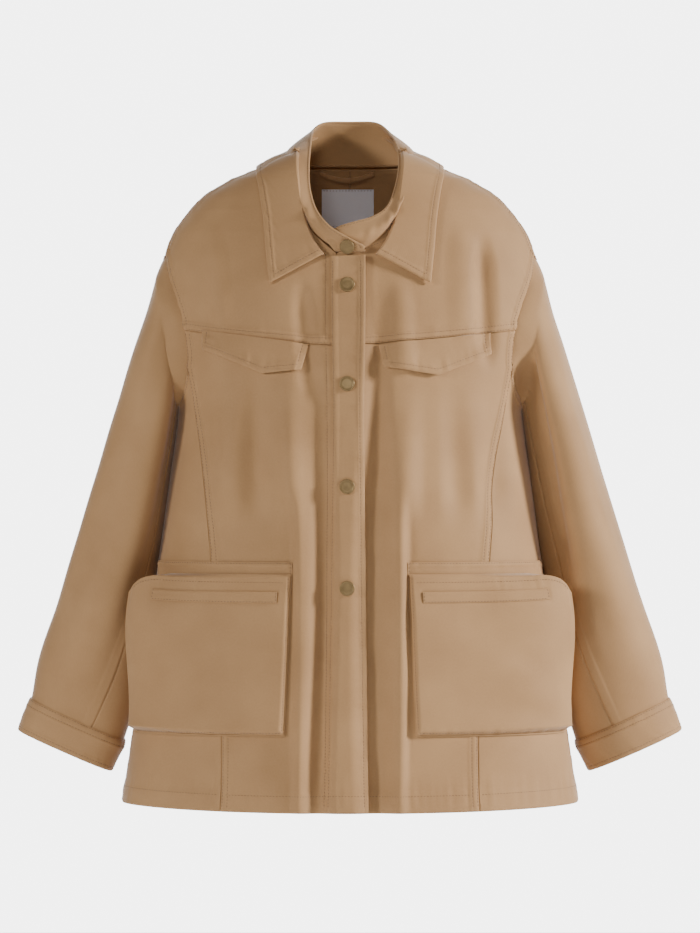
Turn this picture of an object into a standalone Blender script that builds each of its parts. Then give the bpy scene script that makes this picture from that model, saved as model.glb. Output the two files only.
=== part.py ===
"""Work jacket with a funnel neckband, a fall collar, chest flaps and bellows pockets.

Every piece of cloth is a thin sheet on one body form: a table of level sections, with soft
folds laid on it.  The panels are patches of that form cut along the real seams, and whatever
is sewn on a panel (placket, flaps, pockets) is made from the same form, moved out.
X is sideways, the front faces -Y, Z is up, and the origin is the middle of the neck opening.
"""

import math

import bpy
from mathutils import Vector
from mathutils.bvhtree import BVHTree

# ---- driving sizes, in metres -------------------------------------------------------------
WALL = 0.0018              # body and sleeve cloth, sewn double at its seams
BAND_WALL = 0.0026         # neckband and collar, two layers and a stiffener
SEAM_GAP = 0.00040         # clearance between two panels at a seam
LAY_GAP = 0.00060          # clearance under a piece that lies on a panel
HEM_Z = -0.676             # level of the hem
ARMPIT_Z = -0.245          # foot of the armhole
SHOULDER_Z = -0.064        # tip of the shoulder
SECTION_POWER = 2.25       # 2 is an ellipse, higher is squarer
SNAP_RADIUS = 0.0080
SNAP_HEIGHT = 0.0032
VIEW_DISTANCE = 5.0        # the front sizes are read off a front view from this far
VIEW_HEIGHT = -0.30        # and from this height

# ---- tables -------------------------------------------------------------------------------
# level, half width, depth in front, depth at the back
BODY_SECTIONS = [
    (0.020, 0.060, 0.050, 0.046),
    (0.012, 0.082, 0.056, 0.053),
    (0.003, 0.106, 0.061, 0.060),
    (-0.006, 0.129, 0.065, 0.067),
    (-0.023, 0.157, 0.072, 0.078),
    (-0.040, 0.174, 0.079, 0.087),
    (-0.064, 0.191, 0.087, 0.097),
    (-0.094, 0.201, 0.095, 0.105),
    (-0.124, 0.204, 0.102, 0.111),
    (-0.160, 0.202, 0.108, 0.115),
    (-0.200, 0.195, 0.113, 0.117),
    (-0.245, 0.186, 0.117, 0.117),
    (-0.286, 0.189, 0.119, 0.115),
    (-0.330, 0.195, 0.120, 0.112),
    (-0.375, 0.201, 0.120, 0.110),
    (-0.416, 0.207, 0.120, 0.110),
    (-0.480, 0.216, 0.120, 0.112),
    (-0.560, 0.228, 0.121, 0.116),
    (-0.640, 0.240, 0.123, 0.121),
    (-0.700, 0.248, 0.125, 0.125),
]

# side (front -1, back 1), x at its top, x at its foot, top level, foot level, half width, height
BODY_FOLDS = [
    (-1, -0.122, -0.118, -0.224, -0.560, 0.026, 0.0045),
    (-1, -0.047, -0.044, -0.222, -0.690, 0.016, 0.0036),
    (-1, -0.084, -0.082, -0.222, -0.500, 0.018, -0.0035),
    (-1, 0.046, 0.036, -0.222, -0.690, 0.018, -0.0045),
    (-1, 0.084, 0.082, -0.222, -0.560, 0.024, 0.0045),
    (-1, 0.118, 0.116, -0.230, -0.500, 0.018, -0.0035),
    (1, -0.120, -0.150, -0.160, -0.680, 0.032, 0.0055),
    (1, -0.060, -0.070, -0.260, -0.690, 0.026, -0.0045),
    (1, 0.010, 0.004, -0.300, -0.690, 0.030, 0.0050),
    (1, 0.070, 0.086, -0.250, -0.690, 0.024, -0.0050),
    (1, 0.124, 0.152, -0.150, -0.680, 0.030, 0.0055),
]

# sleeve ring: outer x, outer z, inner x, inner z, middle y, half depth
SLEEVE_RINGS = [
    (0.2085, -0.108, 0.1905, -0.252, 0.003, 0.067),
    (0.2180, -0.146, 0.1920, -0.258, 0.004, 0.070),
    (0.2310, -0.184, 0.1940, -0.270, 0.006, 0.072),
    (0.2460, -0.234, 0.1965, -0.290, 0.008, 0.072),
    (0.2610, -0.282, 0.1995, -0.316, 0.011, 0.070),
    (0.2760, -0.333, 0.2060, -0.362, 0.014, 0.067),
    (0.2960, -0.396, 0.2150, -0.428, 0.018, 0.062),
    (0.3170, -0.462, 0.2270, -0.498, 0.022, 0.056),
    (0.3380, -0.524, 0.2380, -0.564, 0.026, 0.048),
    (0.3460, -0.566, 0.2460, -0.611, 0.029, 0.0420),
    (0.3530, -0.586, 0.2530, -0.628, 0.030, 0.0390),
    (0.3570, -0.602, 0.2620, -0.644, 0.031, 0.0360),
]
# cuff seam as a share of the rings above
CUFF_AT = 9.0 / 11.0
SLEEVE_STOPS = [0.0, 0.05, 0.12, 0.20, 0.28, 0.36, 0.44, 0.53, 0.62, 0.72, CUFF_AT + 0.02]
HEAD_INSET = 0.0014        # the sleeve head lies this far inside the armhole
HEAD_OUT = 0.0018          # and this far out from the panels' edge
CUFF_LAP = 0.0038          # how far the cuff stands off the sleeve it closes
# seams of the two-piece sleeve, in degrees from its outside, over the front, from head to cuff
SLEEVE_FRONT_SEAM = [(12 * 180 / 14,), (154,), (152,), (144,), (122,), (102,)]
SLEEVE_BACK_SEAM = 240
SLEEVE_GAP = 0.0006

# armhole as (turn, level): the front half, then the back half, both from tip to armpit
ARMHOLE_FRONT = [(80, SHOULDER_Z), (73, -0.094), (64, -0.130), (59, -0.168),
                 (61.5, -0.205), (68, -0.229), (78, -0.241), (90, ARMPIT_Z)]
ARMHOLE_BACK = [(80, SHOULDER_Z), (92, -0.0665), (103, -0.083), (114, -0.112), (119, -0.150),
                (118, -0.188), (111, -0.221), (101, -0.239), (90, ARMPIT_Z)]

# neck seam as (turn, level) on one side, front to shoulder, then shoulder to back
NECK_FRONT = [(0, -0.088), (4.4, -0.082), (9.3, -0.068), (14.5, -0.046), (21, -0.020),
              (34, 0.000), (51, 0.010), (80, 0.0145)]
NECK_BACK = [(80, 0.0145), (110, 0.0160), (145, 0.0165), (180, 0.0165)]

# neckband: turn of its seam, top x, top y, top z, lift of the crossing end
BAND_UNDER_END = [
    (-3.0, -0.012, -0.0920, -0.056, 0.0),
    (0.0, 0.004, -0.0940, -0.053, 0.0),
    (4.4, 0.024, -0.0900, -0.047, 0.0),
    (9.3, 0.037, -0.0820, -0.031, 0.0),
]
BAND_OVER_END = [
    (-4.0, -0.015, -0.1030, -0.079, 0.0042),
    (0.0, 0.002, -0.1030, -0.071, 0.0042),
    (4.4, 0.020, -0.0980, -0.060, 0.0036),
    (9.3, 0.034, -0.0850, -0.039, 0.0010),
]
BAND_SIDE = [
    (14.5, 0.041, -0.0660, -0.010, 0.0),
    (21.0, 0.043, -0.0460, 0.012, 0.0),
    (34.0, 0.044, -0.0260, 0.030, 0.0),
    (51.0, 0.045, -0.0080, 0.042, 0.0),
    (80.0, 0.046, 0.0080, 0.049, 0.0),
    (110.0, 0.043, 0.0260, 0.053, 0.0),
    (145.0, 0.029, 0.0410, 0.056, 0.0),
    (180.0, 0.000, 0.0460, 0.057, 0.0),
]

# fall collar: fold x, y, z, outer edge x, y, z, and how far it follows the front (1 is all)
FALL_STATIONS = [
    (0.028, -0.097, -0.090, 0.085, -0.090, -0.122, 1.0),
    (0.040, -0.090, -0.074, 0.089, -0.080, -0.086, 1.0),
    (0.050, -0.080, -0.050, 0.092, -0.070, -0.052, 1.0),
    (0.060, -0.066, -0.024, 0.096, -0.056, -0.024, 1.0),
    (0.068, -0.056, 0.004, 0.101, -0.043, -0.002, 0.7),
    (0.070, -0.034, 0.026, 0.107, -0.018, 0.013, 0.0),
    (0.067, 0.000, 0.040, 0.110, 0.014, 0.011, 0.0),
    (0.062, 0.024, 0.047, 0.104, 0.040, 0.003, 0.0),
    (0.049, 0.045, 0.051, 0.086, 0.064, -0.006, 0.0),
    (0.027, 0.058, 0.053, 0.049, 0.080, -0.012, 0.0),
    (0.000, 0.062, 0.054, 0.000, 0.086, -0.014, 0.0),
]

# seams and pieces on the front, as a front view shows them: x, z
YOKE_SEAM_MID_Z = -0.184
YOKE_SEAM_ARM_Z = -0.168
PRINCESS_SEAM = [(0.176, -0.205), (0.169, -0.243), (0.159, -0.318), (0.150, -0.414),
                 (0.143, -0.510), (0.138, -0.600), (0.139, -0.680)]
FRONT_EDGE_X = -0.0148     # where the two fronts meet, under the placket
PLACKET_X = (-0.0200, 0.0165)
PLACKET_TOP_Z = -0.0925
FOLD_END_Z = -0.330        # the folds run out above the lower pockets, which hold the cloth flat
HEM_DIP = 0.005            # the hem drops this much at the middle of front and back
FLAP_L = [(0.031, -0.184), (0.154, -0.171), (0.152, -0.194), (0.094, -0.217), (0.036, -0.208)]
FLAP_R = [(-0.159, -0.168), (-0.045, -0.183), (-0.052, -0.211), (-0.094, -0.215),
          (-0.156, -0.189)]
POCKET_BACK_X = (0.0655, 0.2070)
POCKET_BACK_Z = (-0.416, -0.6000)
BELLOWS_X = 0.0665
BELLOWS_TURN = 74.0        # outer edge of the bellows, round the side
BELLOWS_Z = (-0.432, -0.6020)
BELLOWS_RISE = (0.007, 0.021)   # fullness near the middle of the front and round the side
WELT_Z = (-0.447, -0.459)
WELT_COLUMNS = (2, 8)      # columns of the bellows front that the welt spans
SNAP_X = -0.003
SNAP_LEVELS = [-0.078, -0.119, -0.226, -0.337, -0.447]
LOOP_X = (-0.033, 0.026)
LOOP_TOP_Z = 0.0110
LABEL_X = (-0.0310, 0.0260)
LABEL_Z = (-0.012, -0.053)

# colours are sRGB, with a roughness and a metallic value
CLOTH = (0.675, 0.545, 0.420, 0.78, 0.0)
CLOTH_DARK = (0.600, 0.480, 0.370, 0.80, 0.0)
BRASS = (0.560, 0.480, 0.330, 0.42, 0.85)
LABEL_CLOTH = (0.700, 0.680, 0.720, 0.85, 0.0)


# ---- small helpers ------------------------------------------------------------------------
def lerp(a, b, t):
    """Mix two numbers or two vectors."""
    return a + (b - a) * t


def bump(t):
    """A smooth hill: 1 at t = 0, and 0 from t = 1 on either side."""
    t = abs(t)
    return 0.0 if t >= 1.0 else 0.5 + 0.5 * math.cos(math.pi * t)


def ease(t):
    """A smooth step from 0 to 1."""
    t = min(1.0, max(0.0, t))
    return t * t * (3.0 - 2.0 * t)


def catmull(rows, t):
    """A smooth curve through rows of numbers, t running from 0 to 1."""
    last = len(rows) - 1
    place = min(max(t, 0.0), 1.0) * last
    k = min(int(place), last - 1)
    f = place - k
    p0, p1 = rows[max(k - 1, 0)], rows[k]
    p2, p3 = rows[k + 1], rows[min(k + 2, last)]
    out = []
    for a, b, c, d in zip(p0, p1, p2, p3):
        out.append(0.5 * (2 * b + (c - a) * f + (2 * a - 5 * b + 4 * c - d) * f * f
                          + (3 * b - a - 3 * c + d) * f ** 3))
    return out


def curve(rows, count):
    """count + 1 points along the smooth curve through rows."""
    return [tuple(catmull(rows, k / count)) for k in range(count + 1)]


# ---- the body form ------------------------------------------------------------------------
def section(z):
    """Half width, front depth and back depth of the body at level z."""
    rows = BODY_SECTIONS
    z = min(rows[0][0], max(rows[-1][0], z))
    for k in range(len(rows) - 1):
        if rows[k + 1][0] <= z:
            break
    f = (rows[k][0] - z) / (rows[k][0] - rows[k + 1][0])
    n = len(rows) - 1
    return catmull([row[1:] for row in rows], (k + f) / n)


def signed_power(v, p):
    """A power that keeps the sign."""
    return math.copysign(abs(v) ** p, v)


def plain_body(turn, z):
    """Point of the body form; turn is 0 in front, 90 at +X, 180 at the back, in degrees."""
    width, front, back = section(z)
    a = math.radians(turn)
    p = 2.0 / SECTION_POWER
    depth = front if math.cos(a) > 0 else back
    return Vector((width * signed_power(math.sin(a), p),
                   -depth * signed_power(math.cos(a), p), z))


def fold_height(x, y, z):
    """Height of the soft folds of the cloth at a point of the body."""
    total = 0.0
    side = -1 if y < 0 else 1
    for where, x_top, x_foot, z_top, z_foot, half, height in BODY_FOLDS:
        if where != side or not z_foot - 0.10 < z < z_top:
            continue
        down = (z_top - z) / (z_top - z_foot)
        centre = lerp(x_top, x_foot, down) + 0.004 * math.sin(9.0 * down + 40.0 * x_top)
        grow = ease(down / 0.45) * (1.0 - 0.35 * bump((down - 0.62) / 0.2))
        total += height * grow * bump((x - centre) / half)
    held = ease((abs(x) - 0.046) / 0.012) * ease((FOLD_END_Z - z) / 0.040) if side < 0 else 0.0
    return total * ease(abs(y) / 0.050) * (1.0 - held)


def body(turn, z, out=0.0):
    """Point on the body form with its folds, moved out by a distance."""
    p = plain_body(turn, z)
    d_turn = plain_body(turn + 0.8, z) - plain_body(turn - 0.8, z)
    d_z = plain_body(turn, z + 0.002) - plain_body(turn, z - 0.002)
    normal = d_turn.cross(d_z).normalized()
    return p + normal * (out + fold_height(p.x, p.y, z))


def turn_at(x, z, back=False):
    """The turn whose point of the body has this x."""
    width = section(z)[0]
    ratio = min(1.0, abs(x) / width)
    turn = math.degrees(math.asin(min(1.0, ratio ** (SECTION_POWER / 2.0))))
    turn = 180.0 - turn if back else turn
    return math.copysign(turn, x) if not back or x >= 0 else 360.0 - turn


def seen(x, z):
    """(turn, level) of the front point that a front view shows at x and z."""
    true_x, true_z = x, z
    for _ in range(3):
        y = plain_body(turn_at(true_x, true_z), true_z).y
        true_x = x * (1.0 + y / VIEW_DISTANCE)
        true_z = VIEW_HEIGHT + (z - VIEW_HEIGHT) * (1.0 + y / VIEW_DISTANCE)
    return turn_at(true_x, true_z), true_z


# ---- sheets -------------------------------------------------------------------------------
def coons(top, bottom, left, right):
    """Fill four (turn, level) edges: top and bottom run left to right, the sides run down."""
    nu, nv = len(top) - 1, len(left) - 1
    rows = []
    for j in range(nv + 1):
        v = j / nv
        row = []
        for i in range(nu + 1):
            u = i / nu
            point = []
            for c in (0, 1):
                edge = lerp(top[i][c], bottom[i][c], v) + lerp(left[j][c], right[j][c], u)
                upper = lerp(top[0][c], top[-1][c], u)
                lower = lerp(bottom[0][c], bottom[-1][c], u)
                point.append(edge - lerp(upper, lower, v))
            row.append(tuple(point))
        rows.append(row)
    return rows


def on_body(rows, out=0.0):
    """Turn a grid of (turn, level) into points; out is a number or a function of u and v."""
    nv, nu = len(rows) - 1, len(rows[0]) - 1
    grid = []
    for j, row in enumerate(rows):
        line = []
        for i, (turn, z) in enumerate(row):
            lift = out(i / nu, j / nv) if callable(out) else out
            line.append(body(turn, z, lift))
        grid.append(line)
    return grid


def pull_in(grid, gap, sides="tblr"):
    """Draw the named edges of a grid in by the seam gap."""
    rows = [list(row) for row in grid]
    last, end = len(grid) - 1, len(grid[0]) - 1
    for j in range(last + 1):
        for i in range(end + 1):
            move = Vector((0, 0, 0))
            if i == 0 and "l" in sides:
                move += (grid[j][1] - grid[j][0]).normalized() * gap
            if i == end and "r" in sides:
                move += (grid[j][end - 1] - grid[j][end]).normalized() * gap
            if j == 0 and "t" in sides:
                move += (grid[1][i] - grid[0][i]).normalized() * gap
            if j == last and "b" in sides:
                move += (grid[last - 1][i] - grid[last][i]).normalized() * gap
            rows[j][i] = grid[j][i] + move
    return rows


def material(name, look):
    """A Principled material from an sRGB colour, a roughness and a metallic value."""
    linear = [c / 12.92 if c <= 0.04045 else ((c + 0.055) / 1.055) ** 2.4 for c in look[:3]]
    mat = bpy.data.materials.new(name)
    mat.use_nodes = True
    shader = mat.node_tree.nodes["Principled BSDF"]
    shader.inputs["Base Color"].default_value = (*linear, 1.0)
    shader.inputs["Roughness"].default_value = look[3]
    shader.inputs["Metallic"].default_value = look[4]
    mat.diffuse_color = (*linear, 1.0)
    return mat


def add_object(name, mesh, look, home):
    """Make an object of a mesh, with its finish and soft edges."""
    obj = bpy.data.objects.new(name, mesh)
    home.objects.link(obj)
    mesh.materials.append(material(name + "_finish", look))
    mesh.shade_smooth()
    mesh.set_sharp_from_angle(angle=math.radians(40))
    return obj


def sheet(name, grid, look, home, wall=WALL, closed=False):
    """A sheet of cloth: a loft through the rows of a grid, with its wall laid inward."""
    count = len(grid[0])
    points = [p for row in grid for p in row]
    faces = []
    across = count if closed else count - 1
    for j in range(len(grid) - 1):
        for i in range(across):
            a, b = j * count + i, j * count + (i + 1) % count
            faces.append((a, a + count, b + count, b))
    mesh = bpy.data.meshes.new(name)
    mesh.from_pydata(points, [], faces)
    obj = add_object(name, mesh, look, home)
    solid = obj.modifiers.new("wall", "SOLIDIFY")
    solid.thickness = wall
    solid.offset = -1.0
    return obj


# ---- seams as lists of (turn, level) ------------------------------------------------------
def seen_line(points, count):
    """count + 1 (turn, level) pairs along straight runs between (x, z) points of a front view."""
    lengths = [math.dist(a, b) for a, b in zip(points, points[1:])]
    total = sum(lengths)
    out = []
    for k in range(count + 1):
        walk = total * k / count
        for a, b, length in zip(points, points[1:], lengths):
            if walk <= length + 1e-9:
                break
            walk -= length
        f = min(1.0, walk / length)
        out.append(seen(lerp(a[0], b[0], f), lerp(a[1], b[1], f)))
    return out


def hem(left, right, count):
    """The hem line between two turns."""
    out = []
    for k in range(count + 1):
        turn = lerp(left, right, k / count)
        out.append((turn, HEM_Z - HEM_DIP * math.cos(math.radians(turn)) ** 2))
    return out


def reach(points, foot_z):
    """The same line with its last point dropped onto a level."""
    return points[:-1] + [(points[-1][0], foot_z)]


def mirrored(rows):
    """The same grid on the other side of the body."""
    return [[(-turn, z) for turn, z in reversed(row)] for row in rows]


PER_STEP = 2               # columns or rows to each step of the armhole table
YOKE_COLUMNS = 10
BODY_ROWS = 12
BACK_ARM_ROWS = 9
BACK_NECK_COLUMNS = 8      # on each side of the middle


def front_panel_grids(edge_x):
    """Yoke, front and side front of the +X side, as grids of (turn, level)."""
    arm = curve(ARMHOLE_FRONT, 7 * PER_STEP)
    yoke_end, front_end = 3 * PER_STEP, 4 * PER_STEP
    corner = arm[yoke_end]
    mid = seen(edge_x, YOKE_SEAM_MID_Z)
    seam = [(lerp(mid[0], corner[0], k / YOKE_COLUMNS), lerp(mid[1], corner[1], k / YOKE_COLUMNS))
            for k in range(YOKE_COLUMNS + 1)]
    neck_rows = yoke_end - 1
    neck_foot = (mid[0], seen(edge_x, -0.085)[1])
    neck = curve(NECK_FRONT[::-1], neck_rows)[:-1] + [neck_foot]
    edge = [mid]
    shoulder = [(80.0, lerp(0.0145, SHOULDER_Z, k / YOKE_COLUMNS)) for k in range(YOKE_COLUMNS + 1)]
    yoke = coons(shoulder, seam, neck + edge, arm[:yoke_end + 1])

    princess = [seen(*point) for point in curve(PRINCESS_SEAM, BODY_ROWS)]
    princess[0] = arm[front_end]
    foot = hem(mid[0], princess[-1][0], YOKE_COLUMNS)
    princess = reach(princess, foot[-1][1])
    rows = BODY_ROWS + PER_STEP
    centre = [(lerp(mid[0], foot[0][0], k / rows), lerp(mid[1], foot[0][1], k / rows))
              for k in range(rows + 1)]
    front = coons(seam, foot, centre, arm[yoke_end:front_end] + princess)

    top = arm[front_end:]
    side = [(90.0, lerp(ARMPIT_Z, HEM_Z, k / BODY_ROWS)) for k in range(BODY_ROWS + 1)]
    side_front = coons(top, hem(princess[-1][0], 90.0, len(top) - 1), princess, side)
    return yoke, front, side_front


def back_grid():
    """Both halves of the back, from the +X side seam round to the other, as (turn, level)."""
    half = curve(NECK_BACK, BACK_NECK_COLUMNS)
    top = half + [(360.0 - turn, z) for turn, z in half[-2::-1]]
    left = [(80.0, lerp(0.0145, SHOULDER_Z, k / YOKE_COLUMNS)) for k in range(YOKE_COLUMNS)]
    left += curve(ARMHOLE_BACK, BACK_ARM_ROWS)
    left += [(90.0, lerp(ARMPIT_Z, HEM_Z, k / BODY_ROWS)) for k in range(1, BODY_ROWS + 1)]
    right = [(360.0 - turn, z) for turn, z in left]
    return coons(top, hem(90.0, 270.0, len(top) - 1), left, right)


def neck_line():
    """(turn, point) along the neck seam as the panels are cut, from past the front and round."""
    rows = 3 * PER_STEP - 1
    mid = seen(FRONT_EDGE_X, YOKE_SEAM_MID_Z)
    foot = (mid[0], seen(FRONT_EDGE_X, -0.085)[1])
    front = [foot] + curve(NECK_FRONT[::-1], rows)[-2::-1]
    back = curve(NECK_BACK, BACK_NECK_COLUMNS)[1:]
    half = front + back
    line = half + [(360.0 - turn, z) for turn, z in half[-2::-1]]
    return [(turn, body(turn, z)) for turn, z in line]


def neck_point(line, turn):
    """Point of the neck seam at a turn."""
    for (t0, p0), (t1, p1) in zip(line, line[1:]):
        if turn <= t1:
            break
    return p0.lerp(p1, (turn - t0) / (t1 - t0))


# ---- pieces -------------------------------------------------------------------------------
def build_body(home):
    """Front yokes, fronts, side fronts and the two halves of the back."""
    names = ("front_yoke", "front", "side_front")
    for side, edge_x in (("L", FRONT_EDGE_X), ("R", -FRONT_EDGE_X)):
        for name, rows in zip(names, front_panel_grids(edge_x)):
            rows = mirrored(rows) if side == "R" else rows
            sheet(f"{name}_{side}", pull_in(on_body(rows), SEAM_GAP), CLOTH, home)
    rows = back_grid()
    middle = BACK_NECK_COLUMNS
    for side, first in (("L", 0), ("R", middle)):
        half = [row[first:first + middle + 1] for row in rows]
        sheet(f"back_{side}", pull_in(on_body(half), SEAM_GAP), CLOTH, home)


def build_placket(home):
    """The button band: it lies on both fronts from the neck seam to the hem."""
    rows = []
    count = 24
    for k in range(count + 1):
        turns = [seen(lerp(*PLACKET_X, i / 4), PLACKET_TOP_Z)[0] for i in range(5)]
        low = hem(turns[0], turns[-1], 4)
        rows.append([(turns[i], lerp(PLACKET_TOP_Z, low[i][1], k / count)) for i in range(5)])
    sheet("placket", on_body(rows, LAY_GAP + WALL), CLOTH, home)


def build_flap(name, outline, home):
    """A chest flap: its top lies on the yoke seam and its point stands off a little."""
    top = seen_line(outline[:2], 8)
    ordered = [outline[4], outline[3], outline[2]]
    low = seen_line(ordered, 8)
    left = seen_line([outline[0], outline[4]], 3)
    right = seen_line([outline[1], outline[2]], 3)
    rows = coons(top, low, left, right)
    sheet(name, on_body(rows, lambda u, v: LAY_GAP + WALL + 0.0035 * v), CLOTH, home)


def pocket_turns(side, turns):
    """The turns of a pocket on one side, from left to right as seen from outside."""
    return turns if side > 0 else [-t for t in reversed(turns)]


def build_pocket(side_name, side, home):
    """Backing, bellows front with its gusset, and the welt of one lower pocket."""
    near, far = seen(POCKET_BACK_X[0], -0.5)[0], seen(POCKET_BACK_X[1], -0.44)[0]
    turns = [lerp(near, far, k / 8) for k in range(9)]
    levels = [lerp(*POCKET_BACK_Z, k / 8) for k in range(9)]
    rows = [[(t, z) for t in pocket_turns(side, turns)] for z in levels]
    sheet(f"pocket_back_{side_name}", on_body(rows, LAY_GAP + WALL), CLOTH_DARK, home)

    near = seen(BELLOWS_X, -0.5)[0]
    steps = [0.0, 0.018, 0.06, 0.16, 0.29, 0.42, 0.55, 0.67, 0.78, 0.88, 0.955, 0.987, 1.0]
    depth = BELLOWS_Z[1] - BELLOWS_Z[0]
    welt = [(z - BELLOWS_Z[0]) / depth for z in WELT_Z]
    drops = [0.0, *welt, 0.30, 0.45, 0.60, 0.75, 0.87, 0.945, 0.985, 1.0]
    base = 2 * (LAY_GAP + WALL)

    def level_at(u, v):
        top = BELLOWS_Z[0] - 0.062 * ease((u - 0.70) / 0.30) ** 2
        return lerp(top, BELLOWS_Z[1], v)

    def rise(u, v):
        full = lerp(*BELLOWS_RISE, ease(u / 0.9))
        edge = ease(u / 0.05) * ease((1.0 - u) / 0.05) * ease((1.0 - v) / 0.06)
        mouth = lerp(0.35, 1.0, ease(v / 0.35))
        return base + full * edge * mouth

    grid = []
    for v in drops:
        row = []
        for u in steps if side > 0 else reversed(steps):
            turn = side * lerp(near, BELLOWS_TURN, u)
            row.append(body(turn, level_at(u, v), rise(u, v)))
        grid.append(row)
    sheet(f"pocket_{side_name}", grid, CLOTH, home)

    strip = []
    for v in welt:
        row = []
        for u in steps[WELT_COLUMNS[0]:WELT_COLUMNS[1] + 1]:
            lift = rise(u, v) + LAY_GAP + WALL
            row.append(body(side * lerp(near, BELLOWS_TURN, u), level_at(u, v), lift))
        strip.append(row if side > 0 else row[::-1])
    sheet(f"pocket_welt_{side_name}", strip, CLOTH_DARK, home, wall=0.0014)


def armhole_ring():
    """(angle, point) round the armhole seam of the +X side, at the panels' own corners."""
    front = curve(ARMHOLE_FRONT, 7 * PER_STEP)
    back = curve(ARMHOLE_BACK, BACK_ARM_ROWS)
    ring = [(180.0 * k / (len(front) - 1), body(*p)) for k, p in enumerate(front)]
    ring += [(360.0 - 180.0 * k / (len(back) - 1), body(*p)) for k, p in enumerate(back)][-2:0:-1]
    return ring


def ring_point(t, angle, out=0.0):
    """Point of the sleeve; t runs from head to cuff end, angle from outside over the front."""
    ox, oz, ix, iz, mid_y, depth = catmull(SLEEVE_RINGS, t)
    centre = Vector(((ox + ix) / 2, mid_y, (oz + iz) / 2))
    half = Vector(((ox - ix) / 2, 0, (oz - iz) / 2))
    a = math.radians(angle)
    normal = half.normalized() * (math.cos(a) * depth) + Vector((0, -1, 0)) * (math.sin(a) * half.length)
    point = centre + half * math.cos(a) + Vector((0, -depth, 0)) * math.sin(a)
    return point + normal.normalized() * out


def build_sleeve(side_name, side, home):
    """Top sleeve, under sleeve and cuff of one side."""
    ring = armhole_ring()
    centre = sum((p for _, p in ring), Vector()) / len(ring)
    head_seam = SLEEVE_FRONT_SEAM[0][0]
    top = [(a - 360, p) for a, p in ring if a >= SLEEVE_BACK_SEAM - 0.1]
    top += [(a, p) for a, p in ring if a <= head_seam + 0.1]
    under = [(a, p) for a, p in ring if head_seam - 0.1 <= a <= SLEEVE_BACK_SEAM + 0.1]
    for name, head in (("sleeve_top", top), ("sleeve_under", under)):
        row = []
        for _, point in head:
            inward = (centre - point).normalized() * HEAD_INSET
            row.append(point + inward + Vector((HEAD_OUT, 0, 0)))
        grid = [row]
        for t in SLEEVE_STOPS:
            seam = catmull(SLEEVE_FRONT_SEAM, t / SLEEVE_STOPS[-1])[0]
            first, last = SLEEVE_BACK_SEAM - 360, seam
            if name == "sleeve_under":
                first, last = seam, SLEEVE_BACK_SEAM
            span = head[-1][0] - head[0][0]
            shares = [(a - head[0][0]) / span for a, _ in head]
            grid.append([ring_point(t, lerp(first, last, share)) for share in shares])
        grid = [[Vector((side * p.x, p.y, p.z)) for p in line] for line in grid]
        grid = [line[::-1] if side > 0 else line for line in grid]
        sheet(f"{name}_{side_name}", pull_in(grid, SLEEVE_GAP, "lr"), CLOTH, home)

    grid = []
    for t in (CUFF_AT, lerp(CUFF_AT, 1.0, 0.5), 1.0):
        row = [ring_point(t, k * 15.0, CUFF_LAP) for k in range(24)]
        row = [Vector((side * p.x, p.y, p.z)) for p in row]
        grid.append(row[::-1] if side > 0 else row)
    sheet(f"cuff_{side_name}", grid, CLOTH, home, wall=0.0022, closed=True)


def band_rows():
    """The neckband's stations from the end that tucks under, round the back, to the other."""
    under = BAND_UNDER_END + BAND_SIDE
    over = BAND_OVER_END + BAND_SIDE
    rows = [list(row) for row in under]
    for turn, x, y, z, lift in over[-2::-1]:
        rows.append([360.0 - turn, -x, y, z, lift])
    return rows


def build_neck(home):
    """Neckband and fall collar."""
    line = neck_line()
    columns = 44
    steps = 4
    lines = [[] for _ in range(steps + 1)]
    for k in range(columns + 1):
        turn, x, y, z, lift = catmull(band_rows(), k / columns)
        seam, top = neck_point(line, turn), Vector((x, y, z))
        seam += Vector((0, -lift, 0))
        away = Vector((seam.x, seam.y, 0)).normalized()
        for j in range(steps + 1):
            v = j / steps
            point = lerp(top, seam, v * 0.965)
            lines[j].append(point + away * (0.004 * math.sin(math.pi * v) * (1.0 - lift / 0.005)))
    sheet("neckband", lines, CLOTH, home, wall=BAND_WALL)

    stations = [list(row) for row in FALL_STATIONS]
    stations += [[-row[0], row[1], row[2], -row[3], row[4], row[5], row[6]]
                 for row in FALL_STATIONS[-2::-1]]
    columns = 40
    steps = 5
    lines = [[] for _ in range(steps + 1)]
    for k in range(columns + 1):
        x0, y0, z0, x1, y1, z1, lie = catmull(stations, k / columns)
        for j in range(steps + 1):
            v = j / steps
            x, y, z = lerp(x0, x1, v), lerp(y0, y1, v), lerp(z0, z1, v)
            away = Vector((x, y, 0)).normalized() * 0.5 + Vector((0, 0, 0.85))
            point = Vector((x, y, z)) + away * (0.006 * math.sin(math.pi * v) * (1.0 - lie))
            flat = body(turn_at(x, z), z, lerp(0.0066, 0.0042, v))
            inside = y < -0.010 and abs(x) < section(z)[0] and point.y > flat.y
            lines[j].append(flat if inside else point.lerp(flat, lie))
    sheet("collar", lines, CLOTH, home, wall=BAND_WALL)


def seat(tree, start, aim):
    """Where a ray first meets a surface, and the surface's normal there."""
    point, normal, _, _ = tree.ray_cast(Vector(start), Vector(aim))
    return point, normal


def surface_of(obj):
    """The finished surface of an object, to lay other pieces on."""
    return BVHTree.FromObject(obj, bpy.context.evaluated_depsgraph_get())


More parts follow.
